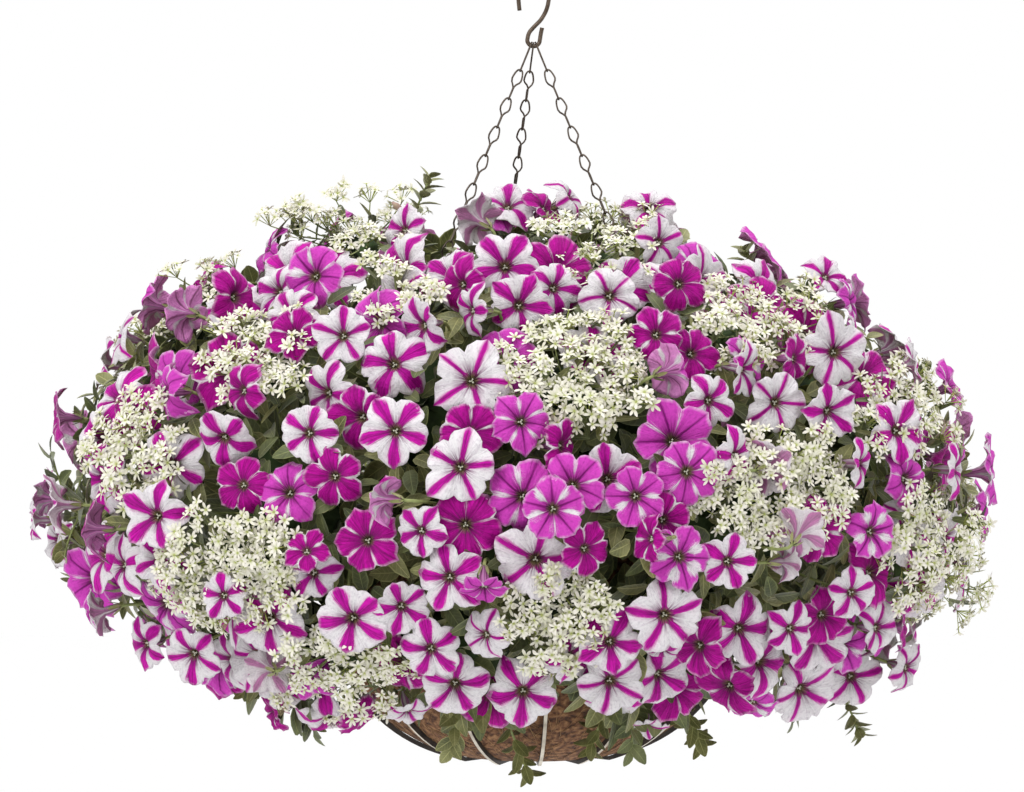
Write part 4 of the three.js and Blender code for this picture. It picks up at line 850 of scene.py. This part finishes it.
def build_soil():
    draws = np.random.default_rng(5)
    side = bowl_profile(-LINER_WALL - 2 * GAP, 5, RIM_Z + LINER_LIP)
    share = (side[0][1] - SOIL_Z) / (side[0][1] - side[1][1])
    edge = side[0] + (side[1] - side[0]) * share
    top = np.vstack([edge] + [[radius, SOIL_Z + rise] for radius, rise in SOIL_TOP])
    profile = np.vstack([[0.01, side[5][1]], side[1:][::-1], top])

    def roughen(grid):
        crumb = draws.normal(0, CRUMB, grid.shape[:2])
        raised = grid[..., 2] > SOIL_Z - 2
        grid[..., 2] = grid[..., 2] + np.where(raised, crumb, 0)
        return grid

    growth = Growth()
    lathed(growth, profile, ROUND_STEPS["soil"], 0, roughen)
    growth.build("potting_soil", [SOIL], "basket", "soil")


# Where everything grows, worked out as the part does

def sight_line(column, row):
    step = MM_PER_STEP / VIEW_DISTANCE
    ahead = vec(0, math.cos(VIEW_TILT), -math.sin(VIEW_TILT))
    up = vec(0, math.sin(VIEW_TILT), math.cos(VIEW_TILT))
    target = vec((COLUMNS / 2 - AXIS_COLUMN) * MM_PER_STEP, 0, (SEAT_ROW - ROWS / 2) * MM_PER_STEP)
    eye = target - ahead * VIEW_DISTANCE
    look = ahead + vec(1, 0, 0) * (column - COLUMNS / 2) * step + up * (ROWS / 2 - row) * step
    return eye, look


def on_mound(column, row):
    """Where the line of sight of a column and row meets the mound, and one step's size there."""
    eye, look = sight_line(column, row)

    def meet(height):
        scale = vec(1 / MOUND["across"], 1 / MOUND["deep"], 1 / height)
        start = (eye - vec(MOUND["x"], 0, MOUND["z"])) * scale
        way = look * scale
        half = np.dot(start, way) / np.dot(way, way)
        inside = half * half - (np.dot(start, start) - 1) / np.dot(way, way)
        return -half - math.sqrt(max(inside, 0))

    above = eye + look * meet(MOUND["up"])
    reach = meet(MOUND["up"]) if above[2] > MOUND["z"] else meet(MOUND["down"])
    return eye + look * reach, MM_PER_STEP * reach / VIEW_DISTANCE


def mound(azimuth, level, reach=1.0):
    """The point of the mound at an azimuth from the viewer, and a level above its middle."""
    height = MOUND["up"] if level > 0 else MOUND["down"]
    return vec(MOUND["x"] + MOUND["across"] * reach * math.sin(azimuth) * math.cos(level),
               -MOUND["deep"] * reach * math.cos(azimuth) * math.cos(level),
               MOUND["z"] + height * reach * math.sin(level))


def outward_at(point):
    """The azimuth and rise of the mound's outward direction at a point."""
    height = MOUND["up"] if point[2] > MOUND["z"] else MOUND["down"]
    out_x = (point[0] - MOUND["x"]) / MOUND["across"] ** 2
    out_y = point[1] / MOUND["deep"] ** 2
    rise = math.atan2((point[2] - MOUND["z"]) / height ** 2, math.hypot(out_x, out_y))
    return math.atan2(out_x, -out_y), rise


def facing(right, up):
    """The direction at angles to the viewer's right and up."""
    return vec(math.sin(right) * math.cos(up), -math.cos(right) * math.cos(up), math.sin(up))


def bloom_list():
    """Every bloom: those read from the photo, those round the back, and those in the gaps."""
    draw = sequence(7)
    blooms = []
    for column, row, width, colour, *way in BLOOMS:
        at, size = on_mound(column, row)
        radius = LOBE_REACH * width * size / 2
        azimuth, rise = outward_at(at)
        if way:
            yaw, pitch = math.radians(way[0]), math.radians(way[1])
        else:
            yaw = azimuth * STRAIGHT["yaw"] + math.radians(STRAIGHT["swing"]) * (draw() - 0.5)
            pitch = rise * STRAIGHT["pitch"] + math.radians(STRAIGHT["swing"]) * (draw() - 0.5)
        blooms.append({"at": at, "radius": radius, "face": facing(yaw, pitch), "spin": draw() * 2 * math.pi,
                       "colour": colour, "steps": PETAL_STEPS})
    for one in range(BACK["blooms"]):
        azimuth = math.radians(BACK["from"] + BACK["over"] * ((one * GOLDEN_SHARE) % 1))
        level = math.asin(BACK["low"] + (BACK["high"] - BACK["low"]) * ((one + 0.5) / BACK["blooms"]))
        yaw = azimuth + math.radians(BACK["swing"]) * (draw() - 0.5)
        face = facing(yaw, level * BACK["lift"] + math.radians(BACK["nod"]) * (draw() - 0.5))
        colour = "SMLW"[int(draw() * 4)]
        radius = BACK["radius"] + BACK["more"] * draw()
        blooms.append({"at": mound(azimuth, level), "radius": radius, "face": face,
                       "spin": draw() * 2 * math.pi, "colour": colour, "steps": PLAIN_PETAL_STEPS})
    for bloom in blooms:
        bloom["place"] = bloom["at"]
    layer(blooms)
    return fillers(blooms, spray_list())


def has_room(at, radius, blooms, sprays):
    """Whether a place has room for a bloom beside the ones there and outside the sprays."""
    for bloom in blooms:
        if np.linalg.norm(bloom["place"] - at) <= FILL["apart"] * (bloom["radius"] + radius):
            return False
    for spray in sprays:
        side, top = ways_across(spray["face"])
        off = at - spray["at"]
        if math.hypot(np.dot(off, side) / spray["wide"], np.dot(off, top) / spray["tall"]) <= FILL["clear"]:
            return False
    return True


def fillers(blooms, sprays):
    """Blooms in the gaps between others, a step further in."""
    draw = sequence(41)
    taken = list(blooms)
    for one in range(FILL["tries"]):
        azimuth = math.radians(FILL["over"] * (((one * GOLDEN_SHARE) % 1) - 0.5))
        level = math.asin(FILL["low"] + (FILL["high"] - FILL["low"]) * ((one + 0.5) / FILL["tries"]))
        place = mound(azimuth, level)
        radius = FILL["radius"] + FILL["more"] * draw()
        yaw = azimuth * FILL["yaw"] + math.radians(FILL["swing"]) * (draw() - 0.5)
        face = facing(yaw, level * FILL["lift"] + math.radians(FILL["nod"]) * (draw() - 0.5))
        colour = "SMSLWS"[int(draw() * 6)]
        spin = draw() * 2 * math.pi
        if has_room(place, radius, taken, sprays):
            out, rise = outward_at(place)
            at = place - facing(out, rise) * FILL["behind"]
            taken.append({"at": at, "place": place, "radius": radius, "face": face, "spin": spin,
                          "colour": colour, "steps": PLAIN_PETAL_STEPS})
    return taken


def layer(blooms):
    """Moves blooms that would share one place to depths of their own."""
    for index, bloom in enumerate(blooms):
        taken = []
        for other in blooms[:index]:
            apart = np.linalg.norm(other["at"] - bloom["at"])
            if apart < LAYER_NEAR * (other["radius"] + bloom["radius"]):
                taken.append(other["depth"])
        free = [depth for depth in LAYER_DEPTHS if depth not in taken]
        bloom["depth"] = free[0] if free else 0
    for bloom in blooms:
        azimuth, rise = outward_at(bloom["at"])
        bloom["at"] = bloom["at"] + facing(azimuth, rise) * bloom["depth"] * LAYER_STEP


def hub_list():
    """The petunia stems' ends, tier by tier, where the foliage and the blooms' stalks start."""
    hubs = []
    for tier in TIERS:
        for index in range(tier["count"]):
            even = math.radians(tier["start"] + 360 * index / tier["count"])
            azimuth = even - FRONT_CROWDING * math.sin(even)
            hub = mound(azimuth, math.radians(tier["rise"]), tier["reach"])
            hubs.append({"hub": hub, "root": tier["root"], "blooms": [], "tips": []})
    return hubs


def nearest_hub(hubs, point):
    return min(hubs, key=lambda hub: np.linalg.norm(hub["hub"] - point))


def bezier(start, bend, end, steps):
    t = np.linspace(0, 1, steps + 1)[:, None]
    return (1 - t) ** 2 * start + 2 * t * (1 - t) * bend + t * t * end


def stem_path(hub, root_radius, steps, swing=0):
    """A stem from the soil, over the rim, to its hub."""
    out = unit(vec(hub[0], hub[1], 0))
    reach = math.hypot(hub[0], hub[1])
    root = turned(out * root_radius, vec(0, 0, 1), math.radians(swing)) + vec(0, 0, SOIL_Z - STEM_ROOT)
    lean = ARCH["hang"] if hub[2] < RIM_Z + ARCH["hang_below"] else ARCH["stand"]
    bend = out * (root_radius + (reach - root_radius) * lean)
    bend[2] = max(hub[2] + ARCH["over"], RIM_Z + ARCH["high"])
    return bezier(root, bend, hub, steps)


def view_spot(column, row, wide, tall):
    """Places on the mound round a column and row of the view."""
    return lambda right, down: on_mound(column + wide * right, row + tall * down)[0]


def mound_spot(azimuth, level, wide, tall):
    """Places on the mound round an azimuth and a level."""
    return lambda right, down: mound(azimuth + wide * right, level - tall * down)


def spray_list():
    """Every spray: those read from the photo, then those round the back."""
    sprays = []
    for column, row, wide, tall in SPRAYS:
        at, size = on_mound(column, row)
        azimuth, rise = outward_at(at)
        face = facing(azimuth * SPRAY["yaw"], rise * SPRAY["lift"])
        sprays.append({"at": at, "wide": wide * size, "tall": tall * size, "face": face,
                       "spot": view_spot(column, row, wide, tall)})
    wide = math.radians(BACK_SPRAY["wide"])
    tall = math.radians(BACK_SPRAY["tall"])
    for one in range(BACK_SPRAY["count"]):
        azimuth = math.radians(BACK_SPRAY["from"] + BACK_SPRAY["over"] * (one / (BACK_SPRAY["count"] - 1)))
        level = math.radians(BACK_SPRAY["high"] if one % 2 else BACK_SPRAY["low"])
        sprays.append({"at": mound(azimuth, level), "wide": MOUND["deep"] * wide, "tall": MOUND["up"] * tall,
                       "face": facing(azimuth, level * SPRAY["lift"]),
                       "spot": mound_spot(azimuth, level, wide, tall)})
    for spray in sprays:
        _, rise = outward_at(spray["at"])
        low = 0.5 - rise / math.pi
        spray["root"] = SPRAY_ROOT["high"] + (SPRAY_ROOT["low"] - SPRAY_ROOT["high"]) * low
    return sprays


# The fine plant

def grow_bloom(growth, bloom, root, draws):
    """Five fused lobes round a funnel throat, with a back, a tube, sepals and a stalk."""
    at, face, spin, radius = bloom["at"], bloom["face"], bloom["spin"], bloom["radius"]
    side, top = ways_across(face, STEEP)
    steps = bloom["steps"]
    columns = LOBES * steps
    step = np.arange(columns)
    lobe = step // steps
    phase = (step % steps) / steps * 2 - 1
    turn = spin + (lobe + phase / 2) * 2 * math.pi / LOBES
    inner = 1 - np.abs(phase)
    notch = draws.uniform(*PETAL["notch"])
    blunt = draws.uniform(*PETAL["blunt"])
    point = draws.uniform(*PETAL["point"])
    ripple = draws.uniform(0, 6.3, LOBES)[lobe]
    rounded = notch + (1 - notch) * (1 - np.abs(phase) ** blunt) ** PETAL["full"]
    outline = rounded + point * np.exp(-(phase / PETAL["point_width"]) ** 2)
    outline = outline * (1 + draws.normal(0, PETAL["uneven"], LOBES)[lobe] * inner)
    outline = outline + draws.normal(0, PETAL["jitter"], columns)
    outline = outline + PETAL["ripple"] * np.sin(phase * PETAL["ripples"] + ripple) * inner
    tilt = draws.normal(0, PETAL["tilt"], LOBES)[lobe] * inner
    curl = np.abs(draws.normal(0, PETAL["curl"], LOBES))[lobe] * inner
    wave = draws.uniform(0, 6.3, LOBES)[lobe]
    sway = draws.uniform(*PETAL["sway"])
    droop = draws.uniform(*PETAL["droop"])
    crumple = draws.normal(0, PETAL["crumple"], columns)

    def height(ring):
        """How far a ring of the petals stands out of the throat's plane, as a share of the radius."""
        funnel = -THROAT * np.exp(-(ring / PETAL["funnel"]) ** 1.15)
        ruffle = sway * ring ** 3 * np.sin(phase * PETAL["waves"] + wave) + crumple * ring ** 2
        midrib = np.exp(-(phase / PETAL["crease_width"]) ** 2)
        crease = PETAL["crease"] * ring * np.abs(phase) ** 2 - PETAL["crease"] * ring * midrib
        fall = droop * smooth(0.5, 1.1, ring) + curl * smooth(0.7, 1.0, ring)
        return funnel + ruffle + crease + tilt * ring ** 2 - fall + 0.04 * ring

    rows = []
    for ring in FRONT_RINGS:
        spread = smooth(0.2, 0.95, ring)
        rows.append((radius * ring * ((1 - spread) * 0.9 + spread * outline), radius * height(ring)))
    for ring in BACK_RINGS:
        spread = smooth(0.2, 0.95, ring)
        reach = radius * ring * ((1 - spread) * 0.95 + spread * outline)
        rows.append((reach, radius * height(ring) - 0.6 - 1.4 * (1 - ring)))
    deep = radius * THROAT
    tube = [(TUBE["throat"] * radius, -0.62 * deep - 2), (TUBE["neck"], -deep - 3),
            (TUBE["foot"], -deep - TUBE["length"])]
    for reach, out in tube:
        rows.append((np.full(columns, reach), np.full(columns, out)))
    grid = []
    for reach, out in rows:
        flat = (reach * np.cos(turn))[:, None] * side + (reach * np.sin(turn))[:, None] * top
        grid.append(at + flat + np.asarray(out)[:, None] * face)
    left = lobe + (phase + 1) / 2
    u = np.stack([left, left + 1 / steps], axis=-1)
    v = np.array(FRONT_RINGS + BACK_RINGS + TUBE_PLACES)
    front = len(FRONT_RINGS)
    kinds = [PETAL_SLOT[bloom["colour"]]] * front + [BACK_SLOT[bloom["colour"]]] * (len(grid) - front - 1)
    growth.sheet(np.stack(grid), 0, u, v, slot_rows=kinds, kind=(draws.random(), draws.random()))
    grow_throat(growth, at - face * deep * 0.72, face, side, top, draws)
    neck = at - face * (deep + TUBE["length"])
    grow_sepals(growth, neck, face, side, top, spin)
    away = unit(root - neck)
    bend = neck - face * (STALK["short"] if np.dot(away, -face) > 0.2 else STALK["long"])
    path = bezier(neck, bend, root, STALK["steps"])
    growth.tube(path, np.linspace(*STALK["gauge"], STALK["steps"] + 1), 5, STEM_SLOT)


def grow_throat(growth, place, face, side, top, draws):
    """The stigma and three anthers: small pale knobs in the throat."""
    start = draws.uniform(0, 6.3)
    for one in range(KNOBS):
        aside = wheel(side, top, start + one * 2 * math.pi / (KNOBS - 1)) * (1.6 if one else 0)
        knob = place + aside + face * draws.uniform(-0.6, 0.8)
        growth.tube([knob, knob + face * 1.1, knob + face * 2], [0.6, 1.0, 0.5], 4, STIGMA_SLOT)


def grow_sepals(growth, neck, face, side, top, spin):
    for sepal in range(SEPAL["count"]):
        out = wheel(side, top, spin + sepal * 2 * math.pi / SEPAL["count"])
        way = unit(face * 0.9 + out * 0.55)
        grow_blade(growth, neck - face * 2 + out * 1.2, way, out, SEPAL["length"], SEPAL["width"],
                   SEPAL["curl"], OLIVE_SLOT, SEPAL["rows"])


def grow_shoot(growth, foot, way, up, length, leaves, draws, swell=1.0):
    """A leafy shoot with the reach of one large leaf: small oval leaves in turn along a thin stem."""
    up = unit(up - way * np.dot(up, way))
    side = np.cross(way, up)
    path = bezier(foot, foot + way * length * 0.45, foot + way * length * 0.8 - up * length * 0.1, leaves + 1)
    growth.tube(path[::3], np.linspace(1.3, 0.7, len(path[::3])), 4, STEM_SLOT)
    slot = some_green(draws)
    for one in range(leaves):
        out = wheel(side, up * 0.6, one * GOLDEN_TURN + draws.normal(0, 0.25))
        size = draws.uniform(*SHOOT_LEAF["size"]) * swell * (1 - 0.2 * one / leaves)
        ahead = 0.3 + 0.9 * one / leaves
        grow_blade(growth, path[2 + one], unit(way * ahead + out), unit(up * 0.9 - out * 0.3), size,
                   size * SHOOT_LEAF["oval"], draws.uniform(*SHOOT_LEAF["curl"]), slot, SHOOT_LEAF["rows"])


def grow_blade(growth, foot, way, up, length, width, curl, slot, rows):
    """A small thin oval blade, folded along its midrib and curled down along its length."""
    up = unit(up - way * np.dot(up, way))
    side = np.cross(way, up)
    along = 0.5 - 0.5 * np.cos(np.linspace(0, math.pi, rows))
    span = np.sin(math.pi * np.clip(along, 0.015, 0.985) ** BLADE["blunt"]) ** BLADE["full"] * width / 2
    middle = foot + along[:, None] * length * way - (curl * length * along ** 2)[:, None] * up
    fold = (span * BLADE["fold"])[:, None] * up
    out = span[:, None] * side + fold
    back = -span[:, None] * side + fold
    grid = np.stack([middle + back, middle, middle + out], axis=1)
    growth.sheet(grid, slot, np.array([[0, 0.5], [0.5, 1]]), along, wrap=False)


def grow_core(growth, middle, outward, wide, tall, deep, slot, draws):
    """The shaded inside of the foliage: an uneven lump, smaller than the leaves that hide it."""
    side, top = ways_across(outward)
    polar = np.linspace(0.02, math.pi - 0.02, 9)
    turns = np.linspace(0, 2 * math.pi, 14, endpoint=False)
    size = 1 + 0.14 * draws.normal(0, 1, (len(polar), len(turns)))
    grid = (np.sin(polar)[:, None] * np.cos(turns) * size * wide)[..., None] * side
    grid = grid + (np.sin(polar)[:, None] * np.sin(turns) * size * tall)[..., None] * top
    grid = grid + (np.cos(polar)[:, None] * size * deep)[..., None] * outward
    growth.sheet(middle + grid, slot, spans_of(len(turns)), np.linspace(0, 1, len(polar)))


def some_green(draws, greens=(LEAF_SLOT, OLIVE_SLOT)):
    return greens[0] if draws.random() < MOSTLY else greens[1]


def grow_leaf(growth, foot, way, up, kind, draws, greens=(LEAF_SLOT, OLIVE_SLOT)):
    """A blade of one kind of leaf, its size and its green drawn, and its curl where that is a range."""
    length = draws.uniform(*kind["length"])
    width = draws.uniform(*kind["width"])
    curl = draws.uniform(*kind["curl"]) if isinstance(kind["curl"], tuple) else kind["curl"]
    grow_blade(growth, foot, way, up, length, width, curl, some_green(draws, greens), kind["rows"])


def grow_petunia(number, hub_entry, draw, draws):
    """One petunia stem with its foliage and blooms."""
    hub, blooms = hub_entry["hub"], hub_entry["blooms"]
    growth = Growth()
    path = stem_path(hub, hub_entry["root"], STEM_STEPS)
    growth.tube(path, np.linspace(2.6, 2.2, STEM_STEPS + 1), 7, STEM_SLOT)
    outward = unit(hub - vec(MOUND["x"], 0, MOUND["z"]))
    core = min(CORE["least"] + CORE["more"] * len(blooms), CORE["most"])
    grow_core(growth, hub, outward, core * CORE_SHARE, core * CORE["tall"] * CORE_SHARE,
              CORE["deep"] * CORE_SHARE, SHADE_SLOT, draws)
    for bloom in blooms:
        spread = bloom["at"] - hub
        spread = spread - outward * np.dot(spread, outward)
        spread = spread * min(1, core * CORE["root"] / np.linalg.norm(spread))
        grow_bloom(growth, bloom, hub + spread, draws)
        grow_leaves_behind(growth, bloom, draws)
    side, top = ways_across(outward)
    for one in range(LEAVES["count"]):
        spread = wheel(side, top, (one + 0.6 * draw()) * 2 * math.pi / LEAVES["count"])
        foot = hub + spread * core * LEAVES["foot"]
        way = unit(spread + outward * LEAVES["out"] * (1 + draw()))
        length = LEAVES["length"] + LEAVES["more"] * draw()
        draw()  # the part's own draw for the leaf's width
        grow_shoot(growth, foot, way, outward, length, SHOOT_LEAVES, draws)
    for one in range(LEAVES_ROUND_CORE):
        tilt = math.acos(1 - 1.25 * (one + 0.5) / LEAVES_ROUND_CORE)
        spread = wheel(side, top, one * GOLDEN_TURN)
        foot = hub + spread * core * 0.8 * math.sin(tilt) + outward * CORE["deep"] * 0.7 * math.cos(tilt)
        way = spread * (math.sin(tilt) + 0.35) + outward * (math.cos(tilt) + 0.45)
        way = unit(way + draws.normal(0, 0.3, 3))
        up = unit(outward + draws.normal(0, 0.35, 3))
        grow_leaf(growth, foot, way, up, CORE_LEAF, draws)
    for one in range(SIDE_SHOOTS["count"]):
        turn = (one + 0.5) * 2 * math.pi / SIDE_SHOOTS["count"] + draws.normal(0, 0.2)
        spread = wheel(side, top, turn)
        way = unit(spread + outward * draws.uniform(-0.3, 0.25))
        length = draws.uniform(SIDE_SHOOTS["short"], SIDE_SHOOTS["long"])
        foot = hub + spread * core * SIDE_SHOOTS["foot"]
        if (foot + way * length)[2] > SIDE_SHOOTS["lowest"]:
            grow_shoot(growth, foot, way, outward, length, SIDE_SHOOTS["leaves"], draws, SIDE_SHOOTS["swell"])
    for tip in hub_entry["tips"]:
        grow_sprig(growth, hub, tip, draw, draws)
    growth.build(f"petunia_stem_{number:02d}", PLANT, "basket", f"petunia_{number:02d}")


def grow_leaves_behind(growth, bloom, draws):
    """Small oval leaves in the shade behind a bloom; round the back whole shoots stand out past it."""
    azimuth, rise = outward_at(bloom["at"])
    outward = facing(azimuth, rise)
    side, top = ways_across(outward)
    start = draws.uniform(0, 6.3)
    if abs(azimuth) > math.radians(BACK["from"]):
        for one in range(SHOOTS_BEHIND_BACK_BLOOM):
            spread = wheel(side, top, start + one * 2 * math.pi / SHOOTS_BEHIND_BACK_BLOOM)
            foot = bloom["at"] - outward * draws.uniform(*BACK_SHOOT["behind"]) + spread * BACK_SHOOT["aside"]
            way = unit(spread + outward * draws.uniform(0, 0.45) + draws.normal(0, 0.12, 3))
            up = unit(outward + draws.normal(0, 0.2, 3))
            length = draws.uniform(BACK_SHOOT["short"], BACK_SHOOT["long"])
            grow_shoot(growth, foot, way, up, length, BACK_SHOOT["leaves"], draws)
    for one in range(LEAVES_BEHIND_BLOOM):
        spread = wheel(side, top, start + one * GOLDEN_TURN)
        foot = bloom["at"] - outward * draws.uniform(*SHADE_LEAF["behind"])
        foot = foot + spread * draws.uniform(*SHADE_LEAF["aside"])
        way = unit(spread + outward * draws.uniform(0.1, 0.8) + draws.normal(0, 0.15, 3))
        up = unit(outward + draws.normal(0, 0.3, 3))
        grow_leaf(growth, foot, way, up, SHADE_LEAF, draws)


def grow_sprig(growth, hub, tip, draw, draws):
    """A long shoot out of the mound: leaves closer together towards its tip, and a bud on the high ones."""
    bend = (hub + tip) / 2
    bend[2] += SPRIG["arch"]
    path = bezier(hub, bend, tip, SPRIG["steps"])
    growth.tube(path, np.linspace(*SPRIG["gauge"], SPRIG["steps"] + 1), 6, STEM_SLOT)
    along = unit(path[-1] - path[-3])
    aside = unit(np.cross(along, vec(0.2, 1, 0.3)))
    for one in range(SPRIG_LEAVES):
        share = math.sqrt(one / (SPRIG_LEAVES - 1))
        foot = path[SPRIG["bare"]] + (path[-1] - path[SPRIG["bare"]]) * share
        out = turned(aside, along, one * GOLDEN_TURN)
        size = draws.uniform(*SPRIG_LEAF["size"]) * (1 - 0.3 * share)
        grow_blade(growth, foot, unit(along * (0.4 + 0.5 * share) + out), unit(along * 0.5 - out), size,
                   size * SPRIG_LEAF["oval"], SPRIG_LEAF["curl"], OLIVE_SLOT, SPRIG_LEAF["rows"])
    if tip[2] > RIM_Z:
        foot = path[7]
        way = unit(along * 0.5 + vec(-0.8, -0.3, 0.1))
        growth.tube([foot + way * place for place in BUD_PLACES], BUD_GAUGE, 7, BUD_SLOT)
    for _ in range(PART_SPRIG_DRAWS):
        draw()


def grow_bract(growth, foot, way, lean, length, width, shade):
    """A flat oblong bract, bowed a little along its length."""
    side = unit(np.cross(way, lean)) * width / 2
    middle = [foot, foot + way * length * 0.35, foot + way * length * 0.72 - lean * length * 0.04,
              foot + way * length - lean * length * 0.12]
    reach = [0.3, 0.9, 1.0, 0.35]
    grid = np.array([[place - side * share, place + side * share] for place, share in zip(middle, reach)])
    growth.sheet(grid, BRACT_SLOT, np.array([[0.0, 1.0]]), np.array([0, 0.35, 0.72, 1.0]), wrap=False,
                 kind=(shade, 0.5))


def grow_floret(growth, place, lean, size, foot, draws):
    """One floret on its stalk: a whorl of oblong cream bracts round a small green eye."""
    side, top = ways_across(lean, STEEP)
    growth.tube([foot, place + lean * 0.9], [0.26, 0.6], 3, STALK_SLOT)
    start = draws.uniform(0, 6.3)
    shade = draws.random()
    for one in range(BRACTS):
        turn = start + one * 2 * math.pi / BRACTS + draws.normal(0, 0.16)
        out = wheel(side, top, turn)
        way = unit(out + lean * draws.uniform(*BRACT_SHAPE["lift"]))
        length = size * draws.uniform(*BRACT_SHAPE["length"])
        grow_bract(growth, place + out * 0.4, way, lean, length, size * BRACT_SHAPE["width"], shade)


def grow_cluster(growth, place, lean, foot, draws):
    """A domed cluster of florets on one stalk."""
    side, top = ways_across(lean, STEEP)
    knot = place - lean * CLUSTER_DEEP
    growth.tube([foot, (foot + knot) / 2 - vec(0, 0, 3), knot], [0.9, 0.7, 0.5], 4, SPRAY_STEM_SLOT)
    for one in range(CLUSTER_FLORETS):
        reach = math.sqrt((one + 0.3) / CLUSTER_FLORETS)
        rim = wheel(side, top, one * GOLDEN_TURN + draws.normal(0, 0.25))
        spot = place + rim * CLUSTER_RADIUS * reach - lean * CLUSTER_DOME * reach ** 2
        spot = spot + draws.normal(0, 1.8, 3)
        way = unit(lean + rim * 0.6 * reach + draws.normal(0, 0.25, 3))
        grow_floret(growth, spot, way, draws.uniform(*FLORET_SIZE), knot, draws)


def grow_spray(number, spray, draws):
    """One spray: its stem, a dark lump of painted shade in its core, leaves, and clusters of small white
    florets laid over the mound.
    """
    at, face, wide, tall = spray["at"], spray["face"], spray["wide"], spray["tall"]
    core = at - face * SPRAY["behind"]
    growth = Growth()
    path = stem_path(core, spray["root"], STEM_STEPS, SPRAY_ROOT["swing"])
    growth.tube(path, np.linspace(2.0, 1.6, STEM_STEPS + 1), 6, SPRAY_STEM_SLOT)
    share = SPRAY["core_share"]
    grow_core(growth, core - face * 4, face, wide * share, tall * share, SPRAY["core_deep"],
              SPRAY_SHADE_SLOT, draws)
    clusters = int(math.pi * wide * tall / CLUSTER_ROOM)
    for one in range(clusters):
        reach = math.sqrt((one + 0.4) / clusters) * draws.uniform(0.94, 1.08)
        turn = one * GOLDEN_TURN
        place = spray["spot"](reach * math.cos(turn), reach * math.sin(turn))
        azimuth, rise = outward_at(place)
        out = facing(azimuth, rise)
        lean = unit(out + vec(0, -0.25, 0.1) + draws.normal(0, 0.2, 3))
        place = place + out * draws.uniform(*CLUSTER_SET_IN)
        foot = core + (place - core) * 0.3 - face * 6
        grow_cluster(growth, place, lean, foot, draws)
        for _ in range(2):
            way = unit(out + draws.normal(0, 0.6, 3))
            foot = place - out * draws.uniform(*SPRAY_LEAF["behind"])
            grow_leaf(growth, foot, way, out, SPRAY_LEAF, draws, (SPRAY_LEAF_SLOT, SPRAY_OLIVE_SLOT))
    tag = f"{number:02d}"
    growth.build(f"spray_{tag}", SPRAY_MATERIALS, "basket", f"floret_spray_{tag}")


def build_plants():
    hubs = hub_list()
    for bloom in bloom_list():
        nearest_hub(hubs, bloom["at"])["blooms"].append(bloom)
    for column, row, depth in SPRIG_TIPS:
        eye, look = sight_line(column, row)
        tip = eye + look * ((depth - eye[1]) / look[1])
        nearest_hub(hubs, tip)["tips"].append(tip)
    draw = sequence(23)
    draws = np.random.default_rng(3)
    for number, hub in enumerate(hubs, 1):
        grow_petunia(number, hub, draw, draws)
    for number, spray in enumerate(spray_list(), 1):
        grow_spray(number, spray, draws)


# Camera, light and floor

def build_camera():
    ahead = Vector((0, math.cos(VIEW_TILT), -math.sin(VIEW_TILT)))
    target = Vector(((COLUMNS / 2 - AXIS_COLUMN) * MM_PER_STEP, 0, (SEAT_ROW - ROWS / 2) * MM_PER_STEP))
    target = target * METRES_PER_MM
    camera = bpy.data.cameras.new("camera")
    camera.sensor_width = SENSOR
    camera.lens = FOCAL
    camera.clip_end = CLIP_END
    eye = bpy.data.objects.new("camera", camera)
    eye.location = target - ahead * VIEW_DISTANCE * METRES_PER_MM
    eye.rotation_euler = (math.pi / 2 - VIEW_TILT, 0, 0)
    bpy.context.collection.objects.link(eye)
    bpy.context.scene.camera = eye


def area_light(name, place, size, power):
    light = bpy.data.lights.new(name, "AREA")
    light.size = size
    light.energy = power
    lamp = bpy.data.objects.new(name, light)
    lamp.location = place
    lamp.rotation_euler = (Vector(LIGHTS_AIM) - Vector(place)).to_track_quat("-Z", "Y").to_euler()
    bpy.context.collection.objects.link(lamp)


def build_studio():
    world = bpy.data.worlds.new("studio")
    world.use_nodes = True
    background = world.node_tree.nodes["Background"]
    background.inputs["Color"].default_value = (1, 1, 1, 1)
    background.inputs["Strength"].default_value = 1.0
    bpy.context.scene.world = world
    bpy.context.scene.view_settings.view_transform = "Standard"
    for light in LIGHTS:
        area_light(*light)
    half = FLOOR_HALF
    corners = [(-half, -half, 0), (half, -half, 0), (half, half, 0), (-half, half, 0)]
    mesh = bpy.data.meshes.new("floor")
    mesh.from_pydata(corners, [], [(0, 1, 2, 3)])
    floor = bpy.data.objects.new("floor", mesh)
    floor.location = (0, 0, FLOOR_Z)
    material, _, _ = blank("floor", (1, 1, 1), 1)
    mesh.materials.append(material)
    bpy.context.collection.objects.link(floor)


build_camera()
build_studio()
build_hook()
for side in CHAIN_RIM_DEG:
    build_chain(side)
build_rim()
for rib in range(RIB_COUNT):
    build_rib(rib)
build_hoop()
build_liner()
build_soil()
build_plants()
